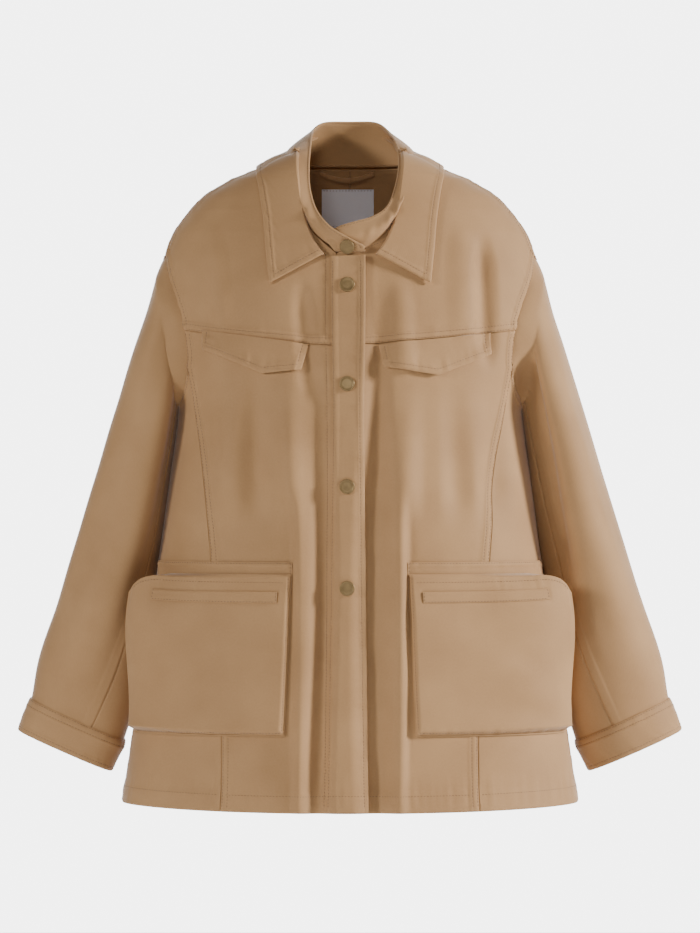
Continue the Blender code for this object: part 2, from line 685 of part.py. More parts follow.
def build_inside_back(home):
    """Hanger loop and bare label: both lie on the inside of the back, below the neck seam."""
    trees = [surface_of(bpy.data.objects[name]) for name in ("back_R", "back_L")]
    rows = []
    for v in (0.0, 1.0):
        row = []
        for k in range(9):
            u = k / 8
            hang = math.sin(math.pi * u)
            z = LOOP_TOP_Z - 0.0075 * hang - 0.0065 * v
            x = lerp(*LOOP_X, u)
            back, _ = seat(trees[x > 0], (x, 0, z), (0, 1, 0))
            row.append(back + Vector((0, -0.0015 - 0.009 * hang - LAY_GAP, 0)))
        rows.append(row)
    sheet("hanger_loop", rows, CLOTH, home, wall=0.0014)

    rows = []
    for j in range(6):
        row = []
        for k in range(7):
            x, z = lerp(*LABEL_X, k / 6), lerp(*LABEL_Z, j / 5)
            back, _ = seat(trees[x > 0], (x, 0, z), (0, 1, 0))
            row.append(back + Vector((0, -LAY_GAP - 0.0010, 0)))
        rows.append(row)
    sheet("label", rows, LABEL_CLOTH, home, wall=0.0008)


def build_snaps(home):
    """Five snap caps down the middle of the placket, the first on the neckband."""
    band = surface_of(bpy.data.objects["neckband"])
    placket = surface_of(bpy.data.objects["placket"])
    for k, z in enumerate(SNAP_LEVELS):
        x = SNAP_X
        _, level = seen(x, z)
        point, normal = seat(band if k == 0 else placket, (x, -1.0, level), (0, 1, 0))
        bpy.ops.mesh.primitive_cylinder_add(vertices=20, radius=SNAP_RADIUS, depth=SNAP_HEIGHT)
        cap = bpy.context.active_object
        cap.name = f"snap_{k + 1}"
        cap.data.name = cap.name
        cap.location = point + normal * (SNAP_HEIGHT / 2 + LAY_GAP)
        cap.rotation_euler = normal.to_track_quat("Z", "Y").to_euler()
        bevel = cap.modifiers.new("rounded rim", "BEVEL")
        bevel.width = 0.0010
        bevel.segments = 2
        bevel.limit_method = "ANGLE"
        cap.data.materials.append(material(cap.name + "_finish", BRASS))
        cap.data.shade_smooth()
        cap.data.set_sharp_from_angle(angle=math.radians(40))
        for collection in list(cap.users_collection):
            collection.objects.unlink(cap)
        home.objects.link(cap)


def main():
    """Clear the scene and build the jacket."""
    for obj in list(bpy.data.objects):
        bpy.data.objects.remove(obj, do_unlink=True)
    home = bpy.data.collections.new("work_jacket")
    bpy.context.scene.collection.children.link(home)
    build_body(home)
    build_placket(home)
    build_flap("chest_flap_L", FLAP_L, home)
    build_flap("chest_flap_R", FLAP_R, home)
    for name, side in (("L", 1), ("R", -1)):
        build_pocket(name, side, home)
        build_sleeve(name, side, home)
    build_neck(home)
    build_inside_back(home)
    build_snaps(home)


main()
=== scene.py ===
"""Work jacket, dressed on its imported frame.

The jacket hangs as if worn, with no wearer in it.  Every piece of cloth is cut from one body
form, laid over with soft folds, turned and topstitched at its seams, and given its wall.
X is sideways (+X is the wearer's left), the front faces -Y and Z is up, in metres.
"""

from __future__ import annotations

import logging
import math
from dataclasses import dataclass, field
from enum import Enum
from typing import Sequence

import bmesh
import bpy
import numpy as np
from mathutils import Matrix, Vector
from mathutils.bvhtree import BVHTree


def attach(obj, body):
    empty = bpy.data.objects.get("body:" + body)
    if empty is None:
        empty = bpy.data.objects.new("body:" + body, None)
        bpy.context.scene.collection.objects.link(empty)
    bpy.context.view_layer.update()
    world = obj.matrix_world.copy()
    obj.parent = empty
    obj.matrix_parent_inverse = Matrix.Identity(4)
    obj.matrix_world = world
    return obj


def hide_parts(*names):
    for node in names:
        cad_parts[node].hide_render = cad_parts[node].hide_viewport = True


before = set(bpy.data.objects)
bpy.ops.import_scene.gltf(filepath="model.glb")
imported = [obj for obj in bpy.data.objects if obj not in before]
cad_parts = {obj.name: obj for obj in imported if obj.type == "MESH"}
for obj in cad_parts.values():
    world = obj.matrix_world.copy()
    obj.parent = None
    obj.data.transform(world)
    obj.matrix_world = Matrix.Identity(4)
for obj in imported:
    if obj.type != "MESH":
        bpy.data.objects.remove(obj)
log = logging.getLogger("work_jacket")

MM = 0.001
Row = tuple[float, ...]
SIDES = ((1, "L"), (-1, "R"))    # the +X side is the wearer's left


# ---- sizes shared by all pieces -----------------------------------------------------------
@dataclass(frozen=True)
class Form:
    """The body form that every panel is cut on, as level sections and soft folds."""

    power: float = 2.25          # 2 is an ellipse, higher is squarer
    hem_z: float = -0.676
    hem_dip: float = 0.005
    view_distance: float = 5.0
    view_height: float = -0.30
    # level, half width, depth in front, depth at the back
    sections: tuple[Row, ...] = (
        (0.020, 0.060, 0.050, 0.046), (0.012, 0.082, 0.056, 0.053),
        (0.003, 0.106, 0.061, 0.060), (-0.006, 0.129, 0.065, 0.067),
        (-0.023, 0.157, 0.072, 0.078), (-0.040, 0.174, 0.079, 0.087),
        (-0.064, 0.191, 0.087, 0.097), (-0.094, 0.201, 0.095, 0.105),
        (-0.124, 0.204, 0.102, 0.111), (-0.160, 0.202, 0.108, 0.115),
        (-0.200, 0.195, 0.113, 0.117), (-0.245, 0.186, 0.117, 0.117),
        (-0.286, 0.189, 0.119, 0.115), (-0.330, 0.195, 0.120, 0.112),
        (-0.375, 0.201, 0.120, 0.110), (-0.416, 0.207, 0.120, 0.110),
        (-0.480, 0.216, 0.120, 0.112), (-0.560, 0.228, 0.121, 0.116),
        (-0.640, 0.240, 0.123, 0.121), (-0.700, 0.248, 0.125, 0.125),
    )

    def section(self, z: np.ndarray) -> tuple[np.ndarray, np.ndarray, np.ndarray]:
        """Half width, front depth and back depth at some levels.

        Args:
            z: levels.

        Returns:
            Three arrays of the shape of z.
        """
        rows = np.array(self.sections)
        levels = rows[:, 0]
        z = np.clip(z, levels[-1], levels[0])
        k = np.clip(np.searchsorted(-levels, -z, side="left") - 1, 0, len(levels) - 2)
        f = (levels[k] - z) / (levels[k] - levels[k + 1])
        out = spline(rows[:, 1:], (k + f) / (len(levels) - 1))
        return out[..., 0], out[..., 1], out[..., 2]

    def point(self, turn: np.ndarray, z: np.ndarray) -> np.ndarray:
        """Points of the plain form.

        Args:
            turn: 0 in front, 90 at +X, 180 at the back, in degrees.
            z: levels.

        Returns:
            An array of points, one for each pair.
        """
        width, front, back = self.section(z)
        a = np.radians(turn)
        s, c = np.sin(a), np.cos(a)
        p = 2.0 / self.power
        depth = np.where(c > 0, front, back)
        x = width * np.sign(s) * np.abs(s) ** p
        y = -depth * np.sign(c) * np.abs(c) ** p
        return np.stack([x, y, z], axis=-1)

    def normal(self, turn: np.ndarray, z: np.ndarray) -> np.ndarray:
        """Outward unit normals of the plain form."""
        across = self.point(turn + 0.8, z) - self.point(turn - 0.8, z)
        up = self.point(turn, z + 0.002) - self.point(turn, z - 0.002)
        return unit(np.cross(across, up))

    def turn_at(self, x: np.ndarray, z: np.ndarray, back: bool = False) -> np.ndarray:
        """The turn whose point has this x, in front or at the back."""
        width = self.section(z)[0]
        ratio = np.clip(np.abs(x) / width, 0.0, 1.0)
        turn = np.degrees(np.arcsin(ratio ** (self.power / 2.0)))
        if back:
            return np.where(x >= 0, 180.0 - turn, 180.0 + turn)
        return np.sign(x) * turn

    def seen(self, x: np.ndarray, z: np.ndarray) -> tuple[np.ndarray, np.ndarray]:
        """(turn, level) of the front point that a front view shows at x and z."""
        x, z = np.asarray(x, float), np.asarray(z, float)
        true_x, true_z = x, z
        for _ in range(3):
            y = self.point(self.turn_at(true_x, true_z), true_z)[..., 1]
            scale = 1.0 + y / self.view_distance
            true_x = x * scale
            true_z = self.view_height + (z - self.view_height) * scale
        return self.turn_at(true_x, true_z), true_z


# ---- curves and grids ---------------------------------------------------------------------
def unit(v: np.ndarray) -> np.ndarray:
    """Vectors of length 1."""
    return v / np.maximum(np.linalg.norm(v, axis=-1, keepdims=True), 1e-12)


def between(ends: Row, share: np.ndarray) -> np.ndarray:
    """Numbers at some shares of the way from the first end to the second."""
    return ends[0] + (ends[1] - ends[0]) * share


def ease(t: np.ndarray) -> np.ndarray:
    """A smooth step from 0 to 1."""
    t = np.clip(t, 0.0, 1.0)
    return t * t * (3.0 - 2.0 * t)


def hill(t: np.ndarray) -> np.ndarray:
    """A smooth hill: 1 at t = 0, and 0 from t = 1 on either side."""
    return np.where(np.abs(t) < 1.0, 0.5 + 0.5 * np.cos(np.pi * np.clip(t, -1, 1)), 0.0)


def spline(rows: np.ndarray | Sequence[Row], t: np.ndarray) -> np.ndarray:
    """A smooth curve through rows of numbers.

    Args:
        rows: one row for each place on the curve.
        t: places along the curve, from 0 to 1.

    Returns:
        One row of numbers for each place.
    """
    rows = np.asarray(rows, float)
    last = len(rows) - 1
    place = np.clip(np.asarray(t, float), 0.0, 1.0) * last
    k = np.minimum(place.astype(int), last - 1)
    f = (place - k)[..., None]
    a, b = rows[np.maximum(k - 1, 0)], rows[k]
    c, d = rows[k + 1], rows[np.minimum(k + 2, last)]
    return 0.5 * (2 * b + (c - a) * f + (2 * a - 5 * b + 4 * c - d) * f ** 2
                  + (3 * b - a - 3 * c + d) * f ** 3)


def along(rows: Sequence[Row], count: int, first: float = 0.0, last: float = 1.0) -> np.ndarray:
    """count + 1 rows on the smooth curve through rows, between two shares of it."""
    return spline(rows, np.linspace(first, last, count + 1))


def walked(points: np.ndarray) -> np.ndarray:
    """Running length along a line of points."""
    return np.concatenate([[0.0], np.cumsum(np.linalg.norm(np.diff(points, axis=0), axis=1))])


def even(points: np.ndarray, count: int) -> np.ndarray:
    """The same line with count + 1 evenly spaced rows."""
    walk = walked(points)
    at = np.linspace(0.0, walk[-1], count + 1)
    return np.stack([np.interp(at, walk, points[:, c]) for c in range(points.shape[1])], axis=1)


def fill(top: np.ndarray, bottom: np.ndarray, left: np.ndarray, right: np.ndarray) -> np.ndarray:
    """Fill four edges with a smooth grid.

    Args:
        top, bottom: the rows of those edges, from left to right.
        left, right: the rows of those edges, from top to bottom.

    Returns:
        A grid of rows, (down, across, columns).
    """
    u = np.linspace(0, 1, len(top))[None, :, None]
    v = np.linspace(0, 1, len(left))[:, None, None]
    edges = top[None] * (1 - v) + bottom[None] * v + left[:, None] * (1 - u) + right[:, None] * u
    corners = ((top[0] * (1 - u) + top[-1] * u) * (1 - v)
               + (bottom[0] * (1 - u) + bottom[-1] * u) * v)
    return edges - corners


def grid_normals(p: np.ndarray, closed: bool = False) -> np.ndarray:
    """Outward normals of a grid whose rows run down and whose columns run left to right."""
    if closed:
        across = np.roll(p, -1, axis=1) - np.roll(p, 1, axis=1)
    else:
        across = np.gradient(p, axis=1)
    down = np.gradient(p, axis=0)
    return unit(np.cross(across, -down))


def ripples(p: np.ndarray, size: float, seed: int) -> np.ndarray:
    """Smooth uneven swells, from -1 to 1, of about a size, from a few crossed waves."""
    rng = np.random.default_rng(seed)
    total = np.zeros(p.shape[:-1])
    for _ in range(7):
        way = unit(rng.normal(size=3))
        wave = size * rng.uniform(0.7, 1.7)
        total += np.sin(p @ way * (2 * np.pi / wave) + rng.uniform(0, 2 * np.pi))
    return total / 7.0


class Edge(Enum):
    """The four edges of a cut piece, as its grid lies."""

    TOP = "top"
    BOTTOM = "bottom"
    LEFT = "left"
    RIGHT = "right"


def edges(left_side: bool) -> tuple[Edge, Edge]:
    """The edge towards the middle of the jacket and the edge away from it."""
    return (Edge.LEFT, Edge.RIGHT) if left_side else (Edge.RIGHT, Edge.LEFT)


@dataclass
class Cut:
    """A piece of cloth as a grid of points, with the distances to its four edges."""

    points: np.ndarray
    closed: bool = False
    normals: np.ndarray = field(init=False)
    gap: dict[Edge, np.ndarray] = field(init=False)
    u: np.ndarray = field(init=False)
    v: np.ndarray = field(init=False)

    def __post_init__(self) -> None:
        """Measure the grid."""
        self.measure()

    def measure(self) -> None:
        """Work out normals, running lengths and the distance to each edge."""
        p = self.points
        self.normals = grid_normals(p, self.closed)
        across = np.linalg.norm(np.diff(p, axis=1), axis=2)
        down = np.linalg.norm(np.diff(p, axis=0), axis=2)
        self.u = np.concatenate([np.zeros((len(p), 1)), np.cumsum(across, axis=1)], axis=1)
        self.v = np.concatenate([np.zeros((1, p.shape[1])), np.cumsum(down, axis=0)], axis=0)
        self.gap = {Edge.LEFT: self.u, Edge.RIGHT: self.u[:, -1:] - self.u,
                    Edge.TOP: self.v, Edge.BOTTOM: self.v[-1:] - self.v}

    def raise_by(self, height: np.ndarray) -> "Cut":
        """Move the points out along the normals, keeping the edge distances."""
        self.points = self.points + self.normals * height[..., None]
        self.normals = grid_normals(self.points, self.closed)
        return self

    def area(self) -> float:
        """Area of the sheet in square metres."""
        p = self.points
        a = np.cross(p[1:, 1:] - p[:-1, :-1], p[1:, :-1] - p[:-1, 1:])
        total = 0.5 * np.linalg.norm(a, axis=2).sum()
        if self.closed:
            b = np.cross(p[1:, 0] - p[:-1, -1], p[1:, -1] - p[:-1, 0])
            total += 0.5 * np.linalg.norm(b, axis=1).sum()
        return float(total)

    def size(self) -> tuple[float, float]:
        """Greatest width and length of the sheet laid flat."""
        width = float(self.u[:, -1].max())
        if self.closed:
            width += float(np.linalg.norm(self.points[:, 0] - self.points[:, -1], axis=1).max())
        return width, float(self.v[-1].max())

    def line(self, edge: Edge, inset: float, count: int = 400) -> tuple[np.ndarray, np.ndarray]:
        """Points and normals on the line that runs beside an edge.

        Args:
            edge: the edge that the line follows.
            inset: distance from it.
            count: how many points.

        Returns:
            The points and their normals.
        """
        upright = edge in (Edge.LEFT, Edge.RIGHT)
        gap = self.gap[edge] if upright else self.gap[edge].T
        p = self.points if upright else self.points.transpose(1, 0, 2)
        n = self.normals if upright else self.normals.transpose(1, 0, 2)
        if edge in (Edge.RIGHT, Edge.BOTTOM):
            gap, p, n = gap[:, ::-1], p[:, ::-1], n[:, ::-1]
        rows_p, rows_n = [], []
        for g, q, m in zip(gap, p, n):
            rows_p.append([np.interp(inset, g, q[:, c]) for c in range(3)])
            rows_n.append([np.interp(inset, g, m[:, c]) for c in range(3)])
        both = even(np.concatenate([np.array(rows_p), np.array(rows_n)], axis=1), count)
        return both[:, :3], unit(both[:, 3:])


def graded(length: float, coarse: float, fine: float = 1.1 * MM, band: float = 11 * MM) -> np.ndarray:
    """Shares along a length, close together near both ends where seams are turned.

    Args:
        length: real length.
        coarse: spacing in the middle.
        fine: spacing near the ends.
        band: how far the fine spacing runs in.

    Returns:
        Shares from 0 to 1.
    """
    if length < 3.0 * band:
        return np.linspace(0.0, 1.0, max(4, round(length / fine)) + 1)
    ends = np.arange(0.0, band, fine)
    middle = np.linspace(band, length - band, max(2, round((length - 2 * band) / coarse)) + 1)
    return np.concatenate([ends, middle, (length - ends)[::-1]]) / length


@dataclass(frozen=True)
class Fold:
    """A soft trough or ridge that runs down the body."""

    back: bool
    x_top: float
    x_foot: float
    z_top: float
    z_foot: float
    half: float
    height: float
    sway: float = 0.004

    def height_at(self, p: np.ndarray) -> np.ndarray:
        """Height of the fold at some points of the body."""
        x, y, z = p[..., 0], p[..., 1], p[..., 2]
        down = (self.z_top - z) / (self.z_top - self.z_foot)
        centre = self.x_top + (self.x_foot - self.x_top) * down
        centre = centre + self.sway * np.sin(7.0 * down + 40.0 * self.x_top)
        reach = ease(down / 0.35) * ease((1.12 - down) / 0.35)
        uneven = 1.0 + 0.25 * np.sin(5.3 * down + 90.0 * self.x_foot)
        half = self.half * (0.75 + 0.45 * np.clip(down, 0, 1))
        side = (y > 0) == self.back
        return np.where(side, self.height * reach * uneven * hill((x - centre) / half), 0.0)


@dataclass(frozen=True)
class Crease:
    """A short soft crease between two points of a front or back view, wide in the middle."""

    back: bool
    start: tuple[float, float]
    end: tuple[float, float]
    half: float
    height: float
    bow: float = 0.0

    def height_at(self, p: np.ndarray) -> np.ndarray:
        """Height of the crease at some points."""
        a, b = np.array(self.start), np.array(self.end)
        run = b - a
        length = np.linalg.norm(run)
        along_run = run / length
        side_way = np.array([-along_run[1], along_run[0]])
        q = np.stack([p[..., 0], p[..., 2]], axis=-1) - a
        s = q @ along_run / length
        d = q @ side_way - self.bow * 4.0 * s * (1.0 - s)
        side = (p[..., 1] > 0) == self.back
        reach = ease(s / 0.3) * ease((1.0 - s) / 0.3)
        return np.where(side, self.height * reach * hill(d / (self.half * (0.6 + 0.4 * reach))), 0.0)


# ---- finishes -----------------------------------------------------------------------------
def linear(colour: str) -> tuple[float, float, float, float]:
    """A linear colour with full alpha from an sRGB hex string."""
    parts = [int(colour[k:k + 2], 16) / 255.0 for k in (0, 2, 4)]
    r, g, b = [c / 12.92 if c <= 0.04045 else ((c + 0.055) / 1.055) ** 2.4 for c in parts]
    return r, g, b, 1.0


def tinted(colour: str, share: float) -> Row:
    """A share of a colour's light."""
    r, g, b, alpha = linear(colour)
    return r * share, g * share, b * share, alpha


@dataclass
class Paint:
    """A new material, with the few steps that the finishes share."""

    name: str
    values: dict[str, float | Row]       # plain values on the shader's own sockets
    mat: bpy.types.Material = field(init=False)
    shader: bpy.types.Node = field(init=False)

    def __post_init__(self) -> None:
        """Make the material and set the plain values."""
        self.mat = bpy.data.materials.new(self.name)
        self.mat.use_nodes = True
        self.shader = self.mat.node_tree.nodes["Principled BSDF"]
        for name, value in self.values.items():
            self.shader.inputs[name].default_value = value

    def node(self, kind: str, settings: dict[str | int, object] | None = None,
             links: dict[str | int, bpy.types.NodeSocket] | None = None) -> bpy.types.Node:
        """Add a node.

        Args:
            kind: its type.
            settings: attribute names, or input names or numbers, with their values.
            links: input names or numbers, with the output sockets that feed them.

        Returns:
            The node.
        """
        made = self.mat.node_tree.nodes.new(kind)
        for name, value in (settings or {}).items():
            if isinstance(name, int) or name in made.inputs:
                made.inputs[name].default_value = value
            else:
                setattr(made, name, value)
        for name, source in (links or {}).items():
            self.mat.node_tree.links.new(source, made.inputs[name])
        return made

    def on_cloth(self) -> bpy.types.NodeSocket:
        """Places on the piece's own cloth map, which is in metres."""
        return self.node("ShaderNodeUVMap", {"uv_map": "cloth"}).outputs["UV"]

    def in_space(self) -> bpy.types.NodeSocket:
        """Places in the piece's own space."""
        return self.node("ShaderNodeTexCoord").outputs["Object"]

    def noise(self, place: bpy.types.NodeSocket, size: float, detail: float) -> bpy.types.NodeSocket:
        """Uneven spots of about a size."""
        return self.node("ShaderNodeTexNoise", {"Scale": 1.0 / size, "Detail": detail},
                         {"Vector": place}).outputs["Fac"]

    def bands(self, place: bpy.types.NodeSocket, size: float, way: str,
              **more: float) -> bpy.types.NodeSocket:
        """Bands a size apart; a wave texture has one every 2 pi / 20 units at scale 1."""
        return self.node("ShaderNodeTexWave", {"wave_type": "BANDS", "bands_direction": way,
                                               "Scale": 0.314 / size, **more},
                         {"Vector": place}).outputs["Fac"]

    def sum(self, value: bpy.types.NodeSocket, share: float,
            other: bpy.types.NodeSocket) -> bpy.types.NodeSocket:
        """A share of one value, plus another."""
        return self.node("ShaderNodeMath", {"operation": "MULTIPLY_ADD", 1: share},
                         {0: value, 2: other}).outputs["Value"]

    def spread(self, value: bpy.types.NodeSocket, **ends: float) -> bpy.types.NodeSocket:
        """A value taken from one range to another."""
        named = {name.replace("_", " ").title(): end for name, end in ends.items()}
        return self.node("ShaderNodeMapRange", named, {"Value": value}).outputs["Result"]

    def colour(self, dark: Row, light: Row, share: bpy.types.NodeSocket) -> None:
        """Colour the shader between two colours."""
        mixed = self.node("ShaderNodeMix", {"data_type": "RGBA", 6: dark, 7: light}, {0: share})
        self.feed(mixed.outputs[2], "Base Color")

    def emboss(self, height: bpy.types.NodeSocket, strength: float, depth: float) -> None:
        """Give the shader a fine relief."""
        bump = self.node("ShaderNodeBump", {"Strength": strength, "Distance": depth},
                         {"Height": height})
        self.feed(bump.outputs["Normal"], "Normal")

    def feed(self, source: bpy.types.NodeSocket, name: str) -> None:
        """Link a value to one of the shader's sockets."""
        self.mat.node_tree.links.new(source, self.shader.inputs[name])


@dataclass(frozen=True)
class TwillFinish:
    """Fine cotton twill: a close diagonal rib, matt with a soft sheen, slightly uneven in tone."""

    name: str
    light: str = "AD8559"
    dark: str = "9F784E"
    roughness: float = 0.72
    sheen: float = 0.25
    rib: float = 1.1 * MM        # the real rib is 0.5 mm, too fine to show, so it is drawn coarser
    rib_angle: float = 62.0      # degrees that it leans from the weft
    slub: float = 2.2 * MM
    swell: float = 70.0 * MM

    def material(self) -> bpy.types.Material:
        """The finish as a material."""
        paint = Paint(self.name, {"Roughness": self.roughness, "Sheen Weight": self.sheen,
                                  "Sheen Roughness": 0.45, "Specular IOR Level": 0.35})
        cloth = paint.on_cloth()
        turned = paint.node("ShaderNodeMapping",
                            {"Rotation": (0.0, 0.0, math.radians(self.rib_angle))},
                            {"Vector": cloth}).outputs["Vector"]
        rib = paint.bands(turned, self.rib, "X", **{"Distortion": 1.2, "Detail": 2.0,
                                                    "Detail Scale": 1.5})
        slub = paint.noise(cloth, self.slub, 3.0)
        swell = paint.noise(paint.in_space(), self.swell, 3.0)
        tone = paint.spread(paint.sum(slub, 0.35, swell), from_min=0.45, from_max=0.90)
        paint.colour(linear(self.dark), linear(self.light), paint.sum(rib, 0.14, tone))
        paint.emboss(paint.sum(rib, 0.6, slub), 0.22, 0.12 * MM)
        return paint.mat


@dataclass(frozen=True)
class ThreadFinish:
    """Spun polyester sewing thread, a shade darker than the cloth, with a slight gloss."""

    name: str = "sewing_thread"
    tone: str = "664A2F"
    roughness: float = 0.55
    ply: float = 0.8 * MM

    def material(self) -> bpy.types.Material:
        """The finish as a material, with the plies showing as fine spots."""
        paint = Paint(self.name, {"Roughness": self.roughness, "Sheen Weight": 0.2})
        paint.colour(tinted(self.tone, 0.82), tinted(self.tone, 1.1),
                     paint.noise(paint.in_space(), self.ply, 2.0))
        return paint.mat


@dataclass(frozen=True)
class LabelFinish:
    """Woven satin tape, pale grey with a lilac cast, with the weft showing as fine lines."""

    name: str = "label_satin"
    tone: str = "EDEBF2"
    weft: float = 0.8 * MM

    def material(self) -> bpy.types.Material:
        """The finish as a material."""
        paint = Paint(self.name, {"Roughness": 0.5, "Sheen Weight": 0.1})
        weft = paint.bands(paint.on_cloth(), self.weft, "Y", Distortion=0.4)
        paint.colour(tinted(self.tone, 0.93), linear(self.tone), weft)
        paint.emboss(weft, 0.3, 0.08 * MM)
        return paint.mat


@dataclass(frozen=True)
class CapFinish:
    """Pressed brass with an aged lacquer: satin, darker where the lacquer has dulled."""

    name: str = "aged_brass"
    bright: str = "8F764C"
    dull: str = "6E5838"
    patch: float = 5.0 * MM
    mark: float = 0.5 * MM

    def material(self) -> bpy.types.Material:
        """The finish as a material, with fine polishing marks."""
        paint = Paint(self.name, {"Metallic": 0.55})
        place = paint.in_space()
        age = paint.noise(place, self.patch, 4.0)
        paint.colour(linear(self.dull), linear(self.bright), age)
        paint.feed(paint.spread(age, to_min=0.32, to_max=0.48), "Roughness")
        paint.emboss(paint.noise(place, self.mark, 2.0), 0.15, 0.05 * MM)
        return paint.mat


@dataclass(frozen=True)
class PaperFinish:
    """Matt studio paper, lit from behind when it has a glow."""

    name: str
    glow: float

    def material(self) -> bpy.types.Material:
        """The finish as a material."""
        paint = Paint(self.name, {"Roughness": 0.95, "Emission Color": (1.0, 1.0, 1.0, 1.0),
                                  "Emission Strength": self.glow})
        paint.colour(linear("F2F2F2"), linear("F6F6F6"),
                     paint.noise(paint.in_space(), 1.0 / 3.0, 2.0))
        return paint.mat


# ---- sewing room: turns cuts into pieces ---------------------------------------------------
@dataclass
class Thread:
    """All the stitches of one sub-assembly, as short raised loops of thread."""

    name: str
    pitch: float = 3.4 * MM
    stitch: float = 2.5 * MM
    thick: float = 0.42 * MM
    rows: list[tuple[np.ndarray, np.ndarray]] = field(default_factory=list)

    def sew(self, cut: Cut, edge: Edge, insets: Sequence[float], start: float = 0.0,
            end: float = 0.0) -> None:
        """Sew rows of stitches beside an edge.

        Args:
            cut: the piece that is sewn.
            edge: the edge that the rows follow.
            insets: distances of the rows from it.
            start: distance left free at the first end, in metres.
            end: distance left free at the other end, in metres.
        """
        for inset in insets:
            points, normals = cut.line(edge, inset)
            walk = walked(points)
            keep = (walk >= start) & (walk <= walk[-1] - end)
            self.run(points[keep], normals[keep])

    def run(self, points: np.ndarray, normals: np.ndarray) -> None:
        """Lay stitches along a line of points."""
        if len(points) < 4:
            return
        walk = walked(points)
        count = int(walk[-1] / self.pitch)
        if count < 1:
            return
        at = (np.arange(count) + 0.5) * self.pitch
        both = np.concatenate([points, normals], axis=1)
        ends = [np.stack([np.interp(at + shift, walk, both[:, c]) for c in range(6)], axis=1)
                for shift in (-self.stitch / 2, self.stitch / 2)]
        self.rows.append((ends[0], ends[1]))

    def build(self, room: "SewingRoom") -> bpy.types.Object:
        """Make one mesh of all the stitches, twelve corners each."""
        a = np.concatenate([row[0] for row in self.rows])
        b = np.concatenate([row[1] for row in self.rows])
        tangent = unit(b[:, :3] - a[:, :3])
        normal = unit(a[:, 3:] + b[:, 3:])
        side = unit(np.cross(tangent, normal))
        corners = []
        for share, width, height in ((0.0, 0.45, -0.35), (0.5, 1.0, 0.45), (1.0, 0.45, -0.35)):
            middle = a[:, :3] * (1 - share) + b[:, :3] * share + normal * (height * self.thick)
            for turn in range(4):
                angle = math.pi / 4 + turn * math.pi / 2
                corners.append(middle + side * (math.cos(angle) * width * self.thick * 0.75)
                               + normal * (math.sin(angle) * width * self.thick * 0.75))
        points = np.stack(corners, axis=1).reshape(-1, 3)
        faces = []
        for ring in (0, 4):
            for k in range(4):
                n = (k + 1) % 4
                faces.append((ring + k, ring + n, ring + 4 + n, ring + 4 + k))
        faces += [(3, 2, 1, 0), (8, 9, 10, 11)]
        base = np.array(faces)
        count = len(a)
        every = (base[None] + 12 * np.arange(count)[:, None, None]).reshape(-1, 4)
        mesh = bpy.data.meshes.new(self.name)
        mesh.from_pydata(points.tolist(), [], every.tolist())
        return room.finish(self.name, mesh, room.thread, "cloth")


@dataclass
class SewingRoom:
    """Makes meshes from cuts, gives them their wall and finish, hangs them on the jacket's root and
    records their flat sizes.
    """

    cloth: bpy.types.Material
    # the same twill a little darker: painted shade for pieces that sit inside the neck
    cloth_painted_shade: bpy.types.Material
    thread: bpy.types.Material
    turnings: float = 1.04           # the cut's area is this much more than what shows
    sizes: dict[str, tuple[float, float, float]] = field(default_factory=dict)

    def finish(self, name: str, mesh: bpy.types.Mesh, finish: bpy.types.Material,
               slot: str) -> bpy.types.Object:
        """Turn a mesh into a piece that rides on the jacket."""
        mesh.materials.append(finish)
        mesh.shade_smooth()
        obj = bpy.data.objects.new(name, mesh)
        bpy.context.scene.collection.objects.link(obj)
        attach(obj, "root")
        log.info("%s: %d faces", name, len(mesh.polygons))
        return obj

    def mesh_of(self, name: str, cut: Cut) -> bpy.types.Mesh:
        """A mesh of the grid, with its cloth map in metres."""
        rows, cols = cut.points.shape[:2]
        index = np.arange(rows * cols).reshape(rows, cols)
        a, b = index[:-1], index[1:]
        if cut.closed:
            a2, b2 = np.roll(a, -1, axis=1), np.roll(b, -1, axis=1)
        else:
            a, b, a2, b2 = a[:, :-1], b[:, :-1], a[:, 1:], b[:, 1:]
        faces = np.stack([a, b, b2, a2], axis=-1).reshape(-1, 4)
        mesh = bpy.data.meshes.new(name)
        mesh.from_pydata(cut.points.reshape(-1, 3).tolist(), [], faces.tolist())
        u = (cut.u - cut.u[:, -1:] / 2).reshape(-1)
        v = -cut.v.reshape(-1)
        loops = np.empty(len(mesh.loops), dtype=np.int64)
        mesh.loops.foreach_get("vertex_index", loops)
        layer = mesh.uv_layers.new(name="cloth")
        layer.data.foreach_set("uv", np.stack([u[loops], v[loops]], axis=1).reshape(-1))
        return mesh

    def sew(self, stands_for: str, cut: Cut, wall: float, held: str = "hung",
            suffix: str = "cloth", slot: str = "cloth", allowance: float = 0.010,
            cloth: bpy.types.Material | None = None) -> None:
        """Make a sheet of cloth from a cut.

        Args:
            stands_for: the CAD node that it replaces.
            cut: its grid.
            wall: thickness, laid inward.
            held: how the sheet is held; not used.
            suffix: what its name adds to the node's.
            slot: its material slot; passed on, but not used.
            allowance: seam allowance that the cut piece has on each side.
            cloth: its finish, when it isn't the jacket's cloth.
        """
        name = f"{stands_for}_{suffix}"
        obj = self.finish(name, self.mesh_of(name, cut), cloth or self.cloth, slot)
        solid = obj.modifiers.new("wall", "SOLIDIFY")
        solid.thickness, solid.offset, solid.use_quality_normals = wall, -1.0, True
        bpy.ops.object.select_all(action="DESELECT")
        bpy.context.view_layer.objects.active = obj
        obj.select_set(True)
        bpy.ops.object.modifier_apply(modifier="wall")
        obj.data.set_sharp_from_angle(angle=math.radians(50))
        width, length = cut.size()
        flat = (width + 2 * allowance, length + 2 * allowance)
        area = cut.area() * self.turnings
        self.sizes[name] = (*flat, area)
        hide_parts(stands_for)


